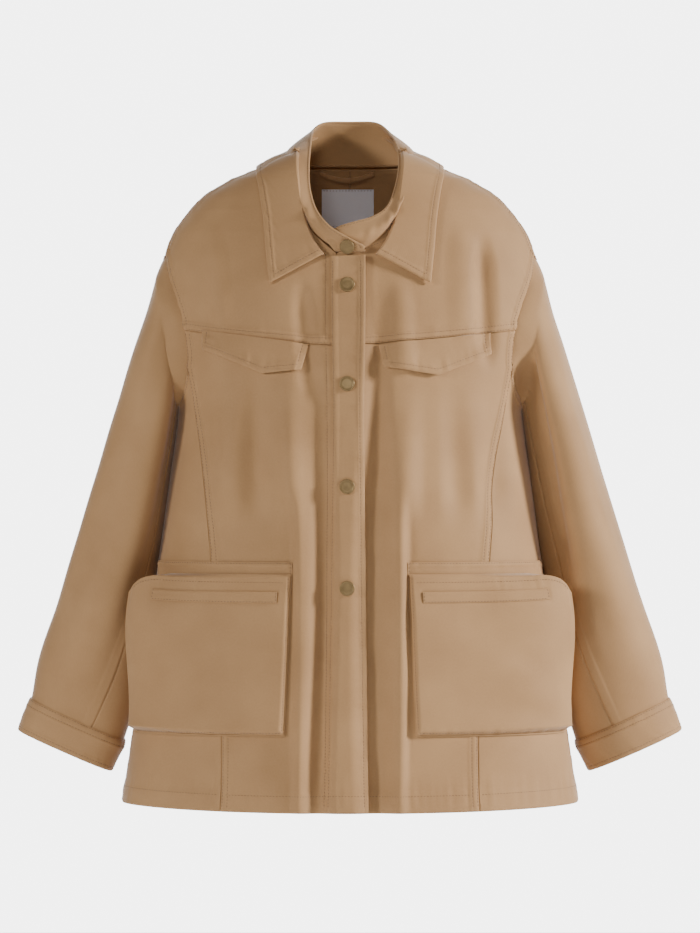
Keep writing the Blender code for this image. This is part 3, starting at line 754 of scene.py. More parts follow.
# ---- pattern: the jacket's seams on the form -----------------------------------------------
@dataclass(frozen=True)
class Drape:
    """The form with its soft folds laid on it: every piece of the body is cut on this."""

    form: Form
    folds: tuple[Fold, ...]
    creases: tuple[Crease, ...]
    pocket_top: float = -0.405   # the lower pockets hold the cloth below this level
    pocket_near: float = 0.052
    foot_z: float = -0.72        # no fold reaches below this level
    side_fade: float = 0.050     # folds fade out this near to the sides
    swell: float = 0.5 * MM      # small swells between the folds
    swell_size: float = 0.060

    def height(self, p: np.ndarray) -> np.ndarray:
        """Height of the cloth over the plain form at some points.

        Args:
            p: points of the plain form.

        Returns:
            One height for each point.
        """
        total = sum(fold.height_at(p) for fold in self.folds)
        x, y, z = np.abs(p[..., 0]), p[..., 1], p[..., 2]
        held = ease((x - self.pocket_near) / 0.012) * ease((self.pocket_top + 0.075 - z) / 0.060)
        total = total * np.where(y < 0, 1.0 - held, 1.0)
        total = total * ease((z - self.foot_z) / 0.03)
        total = total + sum(crease.height_at(p) for crease in self.creases)
        total = total * ease(np.abs(y) / self.side_fade)
        return total + self.swell * ripples(p, self.swell_size, 5) * ease((-0.02 - z) / 0.05)

    def at(self, turns: np.ndarray, levels: np.ndarray, out: np.ndarray | float = 0.0) -> np.ndarray:
        """Points of the draped cloth, moved out by a distance."""
        p = self.form.point(turns, levels)
        lift = out + self.height(p)
        return p + self.form.normal(turns, levels) * np.asarray(lift)[..., None]

    def length(self, line: np.ndarray) -> np.ndarray:
        """Running real length along a (turn, level) line."""
        return walked(self.form.point(line[:, 0], line[:, 1]))

    def patch(self, top: np.ndarray, bottom: np.ndarray, left: np.ndarray, right: np.ndarray,
              coarse: float = 3.2 * MM) -> np.ndarray:
        """Fill four (turn, level) lines with a grid, fine near its edges.

        Args:
            top, bottom: lines from left to right.
            left, right: lines from top to bottom.
            coarse: spacing of the grid in its middle.

        Returns:
            A grid of (turn, level).
        """
        def placed(line: np.ndarray, shares: np.ndarray) -> np.ndarray:
            walk = self.length(line)
            at = shares * walk[-1]
            return np.stack([np.interp(at, walk, line[:, c]) for c in (0, 1)], axis=1)

        across = graded(max(self.length(top)[-1], self.length(bottom)[-1]), coarse)
        down = graded(max(self.length(left)[-1], self.length(right)[-1]), coarse)
        return fill(placed(top, across), placed(bottom, across), placed(left, down),
                    placed(right, down))

    def seen_curve(self, rows: Sequence[tuple[float, float]], count: int = 80,
                   smooth: bool = True) -> np.ndarray:
        """(turn, level) along a line that a front view shows through (x, z) points."""
        if smooth:
            xz = along(rows, count)
        else:
            xz = even(np.array(rows, float), count)
        turn, level = self.form.seen(xz[:, 0], xz[:, 1])
        return np.stack([turn, level], axis=1)


def straight(a: Sequence[float], b: Sequence[float], count: int = 60) -> np.ndarray:
    """count + 1 rows from a to b."""
    t = np.linspace(0, 1, count + 1)[:, None]
    return np.asarray(a, float) * (1 - t) + np.asarray(b, float) * t


def join(*lines: np.ndarray) -> np.ndarray:
    """Lines end to end, without the doubled points."""
    out = [lines[0]]
    for line in lines[1:]:
        out.append(line[1:])
    return np.concatenate(out)


def mirrored(grid: np.ndarray) -> np.ndarray:
    """A (turn, level) grid on the other side of the body."""
    out = grid[:, ::-1].copy()
    out[..., 0] = -out[..., 0]
    return out


@dataclass(frozen=True)
class Pattern:
    """Where the seams run, as (turn, level) rows of the +X side."""

    drape: Drape
    shoulder_turn: float = 80.0
    side_neck_z: float = 0.0145
    yoke_seam_z: float = -0.184
    front_edge_x: float = -0.0148
    neck_foot_z: float = -0.085
    least_step: float = 0.25     # least turn between two columns beside the back's middle seam
    armhole_front: tuple[Row, ...] = (
        (80, -0.088), (73, -0.108), (65, -0.136), (60, -0.169), (61.5, -0.205), (68, -0.229),
        (78, -0.241), (90, -0.245))
    armhole_back: tuple[Row, ...] = (
        (80, -0.088), (92, -0.089), (103, -0.100), (114, -0.122), (119, -0.153), (118, -0.188),
        (111, -0.221), (101, -0.239), (90, -0.245))
    neck_front: tuple[Row, ...] = (
        (80, 0.0145), (51, 0.010), (34, 0.000), (21, -0.020), (14.5, -0.046), (9.3, -0.068),
        (4.4, -0.082), (0, -0.088))
    neck_back: tuple[Row, ...] = ((80, 0.0145), (110, 0.0130), (145, 0.0100), (180, 0.0095))
    princess: tuple[Row, ...] = (
        (0.176, -0.205), (0.169, -0.243), (0.159, -0.318), (0.150, -0.414), (0.143, -0.510),
        (0.138, -0.600), (0.139, -0.680))

    def hem(self, left: float, right: float) -> np.ndarray:
        """The hem line between two turns."""
        form = self.drape.form
        turn = np.linspace(left, right, 81)
        return np.stack([turn, form.hem_z - form.hem_dip * np.cos(np.radians(turn)) ** 2], axis=1)

    def front_panels(self, edge_x: float) -> dict[str, np.ndarray]:
        """Yoke, front and side front of the +X side.

        Args:
            edge_x: where the front edge lies in a front view.

        Returns:
            A (turn, level) grid for each name.
        """
        form = self.drape.form
        yoke_end, front_end = 3 / 7, 4 / 7
        arm_high = along(self.armhole_front, 60, 0.0, yoke_end)
        arm_mid = along(self.armhole_front, 40, yoke_end, front_end)
        arm_low = along(self.armhole_front, 60, front_end, 1.0)
        middle = np.array(form.seen(edge_x, self.yoke_seam_z))
        foot = np.array([middle[0], form.seen(edge_x, self.neck_foot_z)[1]])
        seam = straight(middle, arm_high[-1])
        neck = np.concatenate([along(self.neck_front, 60, 0.0, 5 / 7), foot[None]])
        shoulder = straight((self.shoulder_turn, self.side_neck_z), arm_high[0])
        yoke = self.drape.patch(shoulder, seam, join(neck, straight(foot, middle)), arm_high)

        princess = self.drape.seen_curve(self.princess)
        princess[0] = arm_low[0]
        hem = self.hem(middle[0], princess[-1, 0])
        princess[-1] = hem[-1]
        front = self.drape.patch(seam, hem, straight(middle, hem[0]), join(arm_mid, princess))
        hem_side = self.hem(princess[-1, 0], 90.0)
        side = straight(arm_low[-1], hem_side[-1])
        side_front = self.drape.patch(arm_low, hem_side, princess, side)
        return {"front_yoke": yoke, "front": front, "side_front": side_front}

    def back_half(self) -> np.ndarray:
        """The +X half of the back, from its side seam to the middle."""
        neck = along(self.neck_back, 60)
        hem = self.hem(90.0, 180.0)
        side = straight((90.0, self.armhole_back[-1][1]), hem[0])
        shoulder = straight(neck[0], self.armhole_back[0])
        left = join(shoulder, along(self.armhole_back, 90), side)
        grid = self.drape.patch(neck, hem, left, straight(neck[-1], hem[-1]), coarse=3.6 * MM)
        # below the neck the columns would run past the middle and back, so they stop short of it
        short = self.least_step * np.arange(grid.shape[1])[::-1]
        grid[..., 0] = np.minimum(grid[..., 0], 180.0 - short)
        return grid

    def neck_seam(self) -> tuple[np.ndarray, np.ndarray]:
        """(turns, points) along the neck seam, from past the front and round to the front."""
        form = self.drape.form
        turn, _ = form.seen(self.front_edge_x, self.yoke_seam_z)
        foot = np.array([[turn, form.seen(self.front_edge_x, self.neck_foot_z)[1]]])
        half = np.concatenate([foot, along(self.neck_front, 160)[-2::-1],
                               along(self.neck_back, 120)[1:]])
        other = half[-2::-1].copy()
        other[:, 0] = 360.0 - other[:, 0]
        line = np.concatenate([half, other])
        return line[:, 0], self.drape.at(line[:, 0], line[:, 1])


# ---- seams: how an edge is turned, lapped and stitched --------------------------------------
@dataclass(frozen=True)
class Seam:
    """How one edge of a piece is sewn."""

    edge: Edge
    rows: tuple[float, ...] = ()     # distances of the stitch rows from the edge
    raised: float = 0.7 * MM         # step of the layers below the edge
    width: float = 8.0 * MM          # how far those layers run in
    drop: float = 0.9 * MM           # how far the very edge rolls down
    pucker: float = 0.40 * MM        # height of the small waves that the stitches draw up
    step: float = 2.6 * MM           # how softly the layers end
    roll: float = 1.4 * MM           # how wide the edge rolls
    groove: float = 0.45 * MM        # depth of each stitch row
    groove_half: float = 1.5 * MM
    waves: tuple[float, ...] = (9.0 * MM, 13.0 * MM, 17.5 * MM, 24.0 * MM)

    def relief(self, cut: Cut, seed: int) -> np.ndarray:
        """Height that the seam gives the cloth beside it.

        Args:
            cut: the piece.
            seed: number of the pattern of puckers.

        Returns:
            One height for each point.
        """
        gap = cut.gap[self.edge]
        run = cut.v if self.edge in (Edge.LEFT, Edge.RIGHT) else cut.u
        total = self.raised * (1.0 - ease((gap - self.width) / self.step))
        total = total - self.drop * (1.0 - ease(gap / self.roll))
        for row in self.rows:
            total = total - self.groove * hill((gap - row) / self.groove_half)
        if self.rows and self.pucker:
            rng = np.random.default_rng(seed)
            wave = sum(rng.uniform(0.5, 1.0) * np.sin(run * 2 * np.pi / size + rng.uniform(0, 6.3))
                       for size in self.waves) / 2.6
            centre = (self.rows[0] + self.rows[-1]) / 2
            total = total + self.pucker * wave * hill((gap - centre) / (self.width + 9 * MM))
        return total


def dressed(cut: Cut, seams: Sequence[Seam], seed: int) -> Cut:
    """Give a cut the relief of its seams."""
    total = np.zeros(cut.points.shape[:2])
    for k, seam in enumerate(seams):
        total = total + seam.relief(cut, seed * 10 + k)
    return cut.raise_by(total)


# ---- body ----------------------------------------------------------------------------------
@dataclass
class BodyPanels:
    """Yokes, fronts, side fronts and the two halves of the back."""

    pattern: Pattern
    wall: float = 1.2 * MM
    top_row: float = 1.4 * MM
    wide_row: float = 6.8 * MM
    placket_row: float = 11.0 * MM     # on the front beside the placket, from the front edge
    hem_row: float = 18.0 * MM

    def cut(self, grid: np.ndarray, seams: Sequence[Seam], seed: int) -> Cut:
        """Lay a (turn, level) grid on the form and give it the relief of its seams."""
        cut = Cut(self.pattern.drape.at(grid[..., 0], grid[..., 1]))
        return dressed(cut, seams, seed)

    def seams(self, name: str, left_side: bool) -> list[Seam]:
        """The seams of a panel.

        Args:
            name: front_yoke, front, side_front or back.
            left_side: whether the panel is on the +X side.

        Returns:
            Its seams.
        """
        inner, outer = edges(left_side)
        arm = Seam(outer, (self.top_row, self.wide_row), raised=1.1 * MM)
        hem = Seam(Edge.BOTTOM, (self.hem_row,), raised=0.7 * MM, width=self.hem_row + 1.5 * MM,
                   pucker=0.5 * MM)
        pressed = Seam(inner, (), raised=0.0, drop=0.7 * MM)
        under = 1.8 * MM             # drop of an edge that runs in under the next piece
        table = {
            "front_yoke": [Seam(Edge.BOTTOM, (self.top_row, self.wide_row), raised=1.1 * MM), arm,
                           Seam(Edge.TOP, (self.wide_row,), raised=0.6 * MM),
                           Seam(inner, (self.placket_row,), raised=0.0, drop=0.0)],
            "front": [Seam(Edge.TOP, (), raised=0.0, drop=under), arm,
                      Seam(inner, (self.placket_row,), raised=0.3 * MM, width=13 * MM, drop=0.0),
                      hem],
            "side_front": [Seam(Edge.TOP, (self.top_row, self.wide_row), raised=1.1 * MM),
                           Seam(inner, (), raised=0.0, drop=under), Seam(outer, (), raised=0.0),
                           hem],
            "back": [Seam(outer, (self.top_row, self.wide_row), raised=0.8 * MM), hem, pressed,
                     Seam(Edge.TOP, (), raised=0.3 * MM)],
        }
        return table[name]

    def stitch(self, name: str, cut: Cut, seams: Sequence[Seam], thread: Thread) -> None:
        """Sew the topstitching of a panel."""
        for seam in seams:
            # at the back's side the rows stop short of the shoulder and the hem
            upright = name == "back" and seam.edge in (Edge.LEFT, Edge.RIGHT)
            start, end = (0.03, 0.02) if upright else (0.004, 0.004)
            thread.sew(cut, seam.edge, seam.rows, start=start, end=end)

    def build(self, room: SewingRoom, thread: Thread) -> None:
        """Make all the panels."""
        edge = self.pattern.front_edge_x
        seed = 1
        for side, tag in SIDES:
            for name, grid in self.pattern.front_panels(side * edge).items():
                grid = mirrored(grid) if side < 0 else grid
                self.panel(name, tag, grid, room, thread, seed)
                seed += 1
        grid = self.pattern.back_half()
        other = grid[:, ::-1].copy()
        other[..., 0] = 360.0 - other[..., 0]
        for side, half in (("L", grid), ("R", other)):
            self.panel("back", side, half, room, thread, seed)
            seed += 1

    def panel(self, name: str, side: str, grid: np.ndarray, room: SewingRoom, thread: Thread,
              seed: int) -> None:
        """Make one panel, with its stitches."""
        # the back is seen from behind, so its halves lie the other way round
        left_side = (side == "L") != (name == "back")
        seams = self.seams(name, left_side)
        cut = self.cut(grid, seams, seed)
        self.stitch(name, cut, seams, thread)
        room.sew(f"{name}_{side}", cut, self.wall)


# ---- pieces that lie on the fronts -----------------------------------------------------------
@dataclass
class Placket:
    """The snap band: a folded double strip from the neck seam to the hem."""

    drape: Drape
    x_range: tuple[float, float] = (-0.0200, 0.0165)
    top_z: float = -0.0925
    lift: float = 2.6 * MM
    wall: float = 1.7 * MM
    edge_row: float = 5.2 * MM
    near_row: float = 1.3 * MM
    hem_row: float = 18.0 * MM
    hem_lap: float = 0.6 * MM        # how far it ends above the front's hem
    free: float = 3.4 * MM           # how far its free edge stands off

    def cut(self) -> Cut:
        """The band's outer face, standing off a little along its free edge."""
        form = self.drape.form
        turns = form.seen(np.array(self.x_range), np.full(2, self.top_z))[0]
        line = np.linspace(turns[0], turns[1], 61)
        foot = form.hem_z - form.hem_dip * np.cos(np.radians(line)) ** 2 + self.hem_lap
        top = np.stack([line, np.full(61, self.top_z)], axis=1)
        low = np.stack([line, foot], axis=1)
        grid = self.drape.patch(top, low, straight(top[0], low[0]), straight(top[-1], low[-1]),
                                coarse=2.4 * MM)
        across = np.linspace(0, 1, grid.shape[1])[None, :]
        down = np.linspace(0, 1, grid.shape[0])[:, None]
        # the free edge waves a little off the front between the snaps
        wave = 0.0006 * np.sin(34.0 * down + 1.0) + 0.0004 * np.sin(71.0 * down)
        free = self.free * across ** 2 + wave * across ** 3
        cut = Cut(self.drape.at(grid[..., 0], grid[..., 1], self.lift + free))
        seams = (Seam(Edge.LEFT, (self.near_row,), raised=0.4 * MM, width=5 * MM, drop=0.6 * MM),
                 Seam(Edge.RIGHT, (self.edge_row,), raised=0.5 * MM, width=6 * MM, drop=0.8 * MM),
                 Seam(Edge.BOTTOM, (self.hem_row,), raised=0.4 * MM, width=self.hem_row + MM))
        return dressed(cut, seams, 71)

    def build(self, room: SewingRoom, thread: Thread) -> None:
        """Make the band with its three rows of stitches."""
        cut = self.cut()
        thread.sew(cut, Edge.LEFT, (self.near_row,), start=0.004, end=0.003)
        thread.sew(cut, Edge.RIGHT, (self.edge_row,), start=0.004, end=0.003)
        thread.sew(cut, Edge.BOTTOM, (self.hem_row,), start=0.002, end=0.002)
        room.sew("placket", cut, self.wall)


@dataclass
class ChestFlap:
    """A pointed flap that hangs from the yoke seam."""

    drape: Drape
    side: str
    outline: tuple[tuple[float, float], ...]   # top left, top right, low right, point, low left
    lift: float = 2.3 * MM
    hang: float = 3.5 * MM
    wall: float = 1.8 * MM
    row: float = 6.2 * MM
    seed: int = 81

    def cut(self) -> Cut:
        """The flap's outer face, standing off the front towards its point."""
        o = self.outline
        lines = [self.drape.seen_curve(points, 80, smooth=False)
                 for points in ((o[0], o[1]), (o[4], o[3], o[2]), (o[0], o[4]), (o[1], o[2]))]
        grid = self.drape.patch(*lines, coarse=2.2 * MM)
        down = np.linspace(0, 1, grid.shape[0])[:, None]
        across = np.linspace(0, 1, grid.shape[1])[None, :]
        stand = self.hang * ease(down * 1.1) + 0.0012 * np.sin(np.pi * down) * np.sin(6.0 * across)
        cut = Cut(self.drape.at(grid[..., 0], grid[..., 1], self.lift + stand))
        seams = [Seam(edge, (self.row,), raised=0.5 * MM, width=self.row + 1.2 * MM, drop=0.9 * MM,
                      pucker=0.45 * MM) for edge in (Edge.LEFT, Edge.RIGHT, Edge.BOTTOM)]
        return dressed(cut, seams, self.seed)

    def build(self, room: SewingRoom, thread: Thread) -> None:
        """Make the flap with one row of stitches round its free edges."""
        cut = self.cut()
        for edge in (Edge.LEFT, Edge.RIGHT):
            thread.sew(cut, edge, (self.row,), start=0.001, end=self.row)
        thread.sew(cut, Edge.BOTTOM, (self.row,), start=self.row, end=self.row)
        room.sew(f"chest_flap_{self.side}", cut, self.wall)


@dataclass
class LowerPocket:
    """Backing, bellows and welt of one lower pocket."""

    drape: Drape
    side: int                                  # 1 on the +X side, -1 on the other
    tag: str                                   # L or R, as the wearer has it
    back_x: tuple[float, float] = (0.0655, 0.2070)
    back_z: tuple[float, float] = (-0.416, -0.6000)
    near_x: float = 0.0665
    far_turn: float = 74.0
    levels: tuple[float, float] = (-0.4285, -0.5980)
    corner_drop: float = 0.046
    corner_from: float = 0.76
    # how far the face stands off by the middle, at the outer top and at the outer bottom
    rise: tuple[float, float, float] = (0.0030, 0.0330, 0.0120)
    base: float = 4.6 * MM
    welt_z: tuple[float, float] = (-0.447, -0.459)
    welt_range: tuple[float, float] = (0.06, 0.78)
    wall: float = 1.6 * MM
    rim_row: float = 0.052                     # share down the face of the stitches along its rim
    face: tuple[float, float] = (0.165, 0.170)     # width and length of the face
    back_lift: float = 2.0 * MM
    back_wall: float = 1.2 * MM
    back_row: float = 1.5 * MM
    gusset_row: float = 2.6 * MM
    foot_row: float = 1.8 * MM
    # shares of the face over which the gusset turns back: near side, far side, foot, top
    gusset: Row = (0.020, 0.035, 0.028, 0.026)
    slot: float = 0.9 * MM                     # depth pressed in under the welt
    slot_end: float = 0.012                    # share of the face that it runs past the welt
    slot_lap: float = 1.2 * MM                 # how far it runs above and below the welt
    slot_edge: float = 1.6 * MM
    gather: float = 0.5 * MM
    gathers: Row = (88.0, 113.0, 141.0)        # waves of the gathers along the mouth
    welt_row: float = 1.2 * MM
    welt_wall: float = 0.8 * MM
    welt_seam: float = 8.0 * MM

    def turns(self, grid: np.ndarray) -> np.ndarray:
        """The same grid on this pocket's side."""
        return grid if self.side > 0 else mirrored(grid)

    def backing(self, room: SewingRoom, thread: Thread) -> None:
        """The flat patch under the pocket, stitched on along its top and its near side."""
        form = self.drape.form
        near = float(form.seen(self.back_x[0], -0.5)[0])
        far = float(form.seen(self.back_x[1], -0.44)[0])
        top, low = self.back_z
        grid = self.drape.patch(straight((near, top), (far, top)), straight((near, low), (far, low)),
                                straight((near, top), (near, low)), straight((far, top), (far, low)),
                                coarse=4.0 * MM)
        grid = self.turns(grid)
        cut = Cut(self.drape.at(grid[..., 0], grid[..., 1], self.back_lift))
        inner, outer = edges(self.side > 0)
        seams = (Seam(Edge.TOP, (self.back_row,), raised=0.5 * MM, width=4 * MM, pucker=0.5 * MM),
                 Seam(inner, (self.back_row,), raised=0.4 * MM, width=4 * MM), Seam(outer))
        cut = dressed(cut, seams, 91 + self.side)
        thread.sew(cut, Edge.TOP, (self.back_row,), start=0.001, end=0.001)
        # only the top of the side row shows; the bellows covers the rest
        thread.sew(cut, inner, (self.back_row,), start=0.001, end=0.150)
        room.sew(f"pocket_back_{self.tag}", cut, self.back_wall)

    def level_at(self, u: np.ndarray, v: np.ndarray) -> np.ndarray:
        """Level of the bellows at shares across and down; its outer top corner is rounded."""
        corner = np.clip((u - self.corner_from) / (1 - self.corner_from), 0, 1)
        top = self.levels[0] - self.corner_drop * (1.0 - np.sqrt(1.0 - 0.98 * corner ** 2))
        return top + (self.levels[1] - top) * v

    def lift_at(self, u: np.ndarray, v: np.ndarray) -> np.ndarray:
        """How far the bellows stands off the form at shares across and down."""
        outer = self.rise[1] + (self.rise[2] - self.rise[1]) * ease((v - 0.15) / 0.85)
        full = self.rise[0] + (outer - self.rise[0]) * ease((u - 0.15) / 0.8) ** 1.5
        # a gusset runs from the rim of the face back to the body all round
        near, far, foot, top = self.gusset
        edge = ease(u / near) * ease((1.0 - u) / far) * ease((1.0 - v) / foot) * ease(v / top)
        mouth = 0.55 + 0.45 * ease(v / 0.25)
        return self.base + full * edge * (mouth + (1 - mouth) * ease((u - 0.6) / 0.3))

    def surface(self, u: np.ndarray, v: np.ndarray, out: np.ndarray | float = 0.0) -> np.ndarray:
        """Points of the bellows' face at shares across (from the middle) and down."""
        near = float(self.drape.form.seen(self.near_x, -0.5)[0])
        turn = near + (self.far_turn - near) * u
        if self.side > 0:
            # the wearer's left pocket sags in a long slanting fold
            sag = 0.0016 * hill((v - 0.25 - 0.75 * u) / 0.22) * ease((1 - v) / 0.2)
            sag = sag - 0.0016 * hill((v - 0.62 - 0.55 * u) / 0.22) * ease((1 - v) / 0.2)
        else:
            sag = 0.0010 * hill((u - 0.40) / 0.30) - 0.0008 * hill((u - 0.72) / 0.2)
        return self.drape.at(self.side * turn, self.level_at(u, v), self.lift_at(u, v) + sag + out)

    def shares(self) -> tuple[np.ndarray, np.ndarray]:
        """Fine shares across and down the bellows."""
        across, down = (graded(size, 2.6 * MM, 1.0 * MM, 13 * MM) for size in self.face)
        return across, down

    def bellows(self, room: SewingRoom, thread: Thread) -> None:
        """The full front of the pocket."""
        across, down = self.shares()
        u, v = np.meshgrid(across, down)
        u = u if self.side > 0 else u[:, ::-1]
        # a slot is pressed in where the welt lies
        top, low = self.welt_z
        level = self.level_at(u, v)
        slot = (ease((u - self.welt_range[0] + self.slot_end) / self.slot_end)
                * ease((self.welt_range[1] + self.slot_end - u) / self.slot_end)
                * ease((top + self.slot_lap - level) / self.slot_edge)
                * ease((level - low + self.slot_lap) / self.slot_edge))
        rng = np.random.default_rng(5)
        gather = sum(np.sin(u * k + rng.uniform(0, 6)) for k in self.gathers) / 3
        near_mouth = hill((v - 0.10) / 0.16) * ease((u - 0.35) / 0.2)
        points = self.surface(u, v, -self.slot * slot + self.gather * gather * near_mouth)
        cut = Cut(points)
        inner, outer = edges(self.side > 0)
        seams = (Seam(Edge.TOP, (), raised=0.3 * MM),
                 Seam(inner, (1.8 * MM,), raised=0.3 * MM, width=3 * MM, pucker=0.2 * MM),
                 Seam(outer, (), raised=0.3 * MM), Seam(Edge.BOTTOM, (1.6 * MM,), raised=0.4 * MM,
                                                        width=3 * MM, pucker=0.6 * MM))
        cut = dressed(cut, seams, 95 + self.side)
        rim_u, rim_v = np.linspace(0.03, 0.94, 200), np.full(200, self.rim_row)
        near, far = float(self.drape.form.seen(self.near_x, -0.5)[0]), self.far_turn
        facing = self.drape.form.normal(self.side * (near + (far - near) * rim_u),
                                        self.level_at(rim_u, rim_v))
        thread.run(self.surface(rim_u, rim_v, 0.1 * MM), facing)
        thread.sew(cut, inner, (self.gusset_row,), start=0.004, end=0.004)
        thread.sew(cut, Edge.BOTTOM, (self.foot_row,), start=0.003, end=0.003)
        room.sew(f"pocket_{self.tag}", cut, self.wall)

    def welt(self, room: SewingRoom, thread: Thread) -> None:
        """The narrow folded strip in the pocket's slot."""
        top, low = self.welt_z
        width = self.face[0] * (self.welt_range[1] - self.welt_range[0])
        across = graded(width, 2.6 * MM)
        down = np.linspace(0, 1, 15)
        u, t = np.meshgrid(across, down)
        u = between(self.welt_range, u)
        u = u if self.side > 0 else u[:, ::-1]
        level = top + (low - top) * t
        head = self.level_at(u, np.zeros_like(u))
        v = (level - head) / (self.levels[1] - head)
        # the lips gape a little in the middle of the slot
        shape = 0.9 * MM * np.sin(np.pi * t) ** 0.5 + 0.5 * MM * hill((t - 0.15) / 0.3)
        cut = Cut(self.surface(u, v, 0.3 * MM + shape))
        for edge in (Edge.BOTTOM, Edge.LEFT, Edge.RIGHT):
            thread.sew(cut, edge, (self.welt_row,), start=0.5 * MM, end=0.5 * MM)
        room.sew(f"pocket_welt_{self.tag}", cut, self.welt_wall, held="folded",
                 allowance=self.welt_seam)

    def build(self, room: SewingRoom, thread: Thread) -> None:
        """Make the three pieces."""
        self.backing(room, thread)
        self.bellows(room, thread)
        self.welt(room, thread)


# ---- sleeves ---------------------------------------------------------------------------------
@dataclass(frozen=True)
class SleeveFold:
    """A soft ridge or trough along a sleeve."""

    angle: tuple[float, float]     # round the sleeve at its two ends, 0 outside, 90 in front
    span: tuple[float, float]      # shares of the sleeve's length
    half: float                    # half width in degrees
    height: float

    def height_at(self, angle: np.ndarray, t: np.ndarray) -> np.ndarray:
        """Height of the fold at some angles and shares."""
        s = (t - self.span[0]) / (self.span[1] - self.span[0])
        centre = self.angle[0] + (self.angle[1] - self.angle[0]) * s
        off = (angle - centre + 180.0) % 360.0 - 180.0
        reach = ease(s / 0.3) * ease((1.0 - s) / 0.3)
        return self.height * reach * hill(off / self.half)


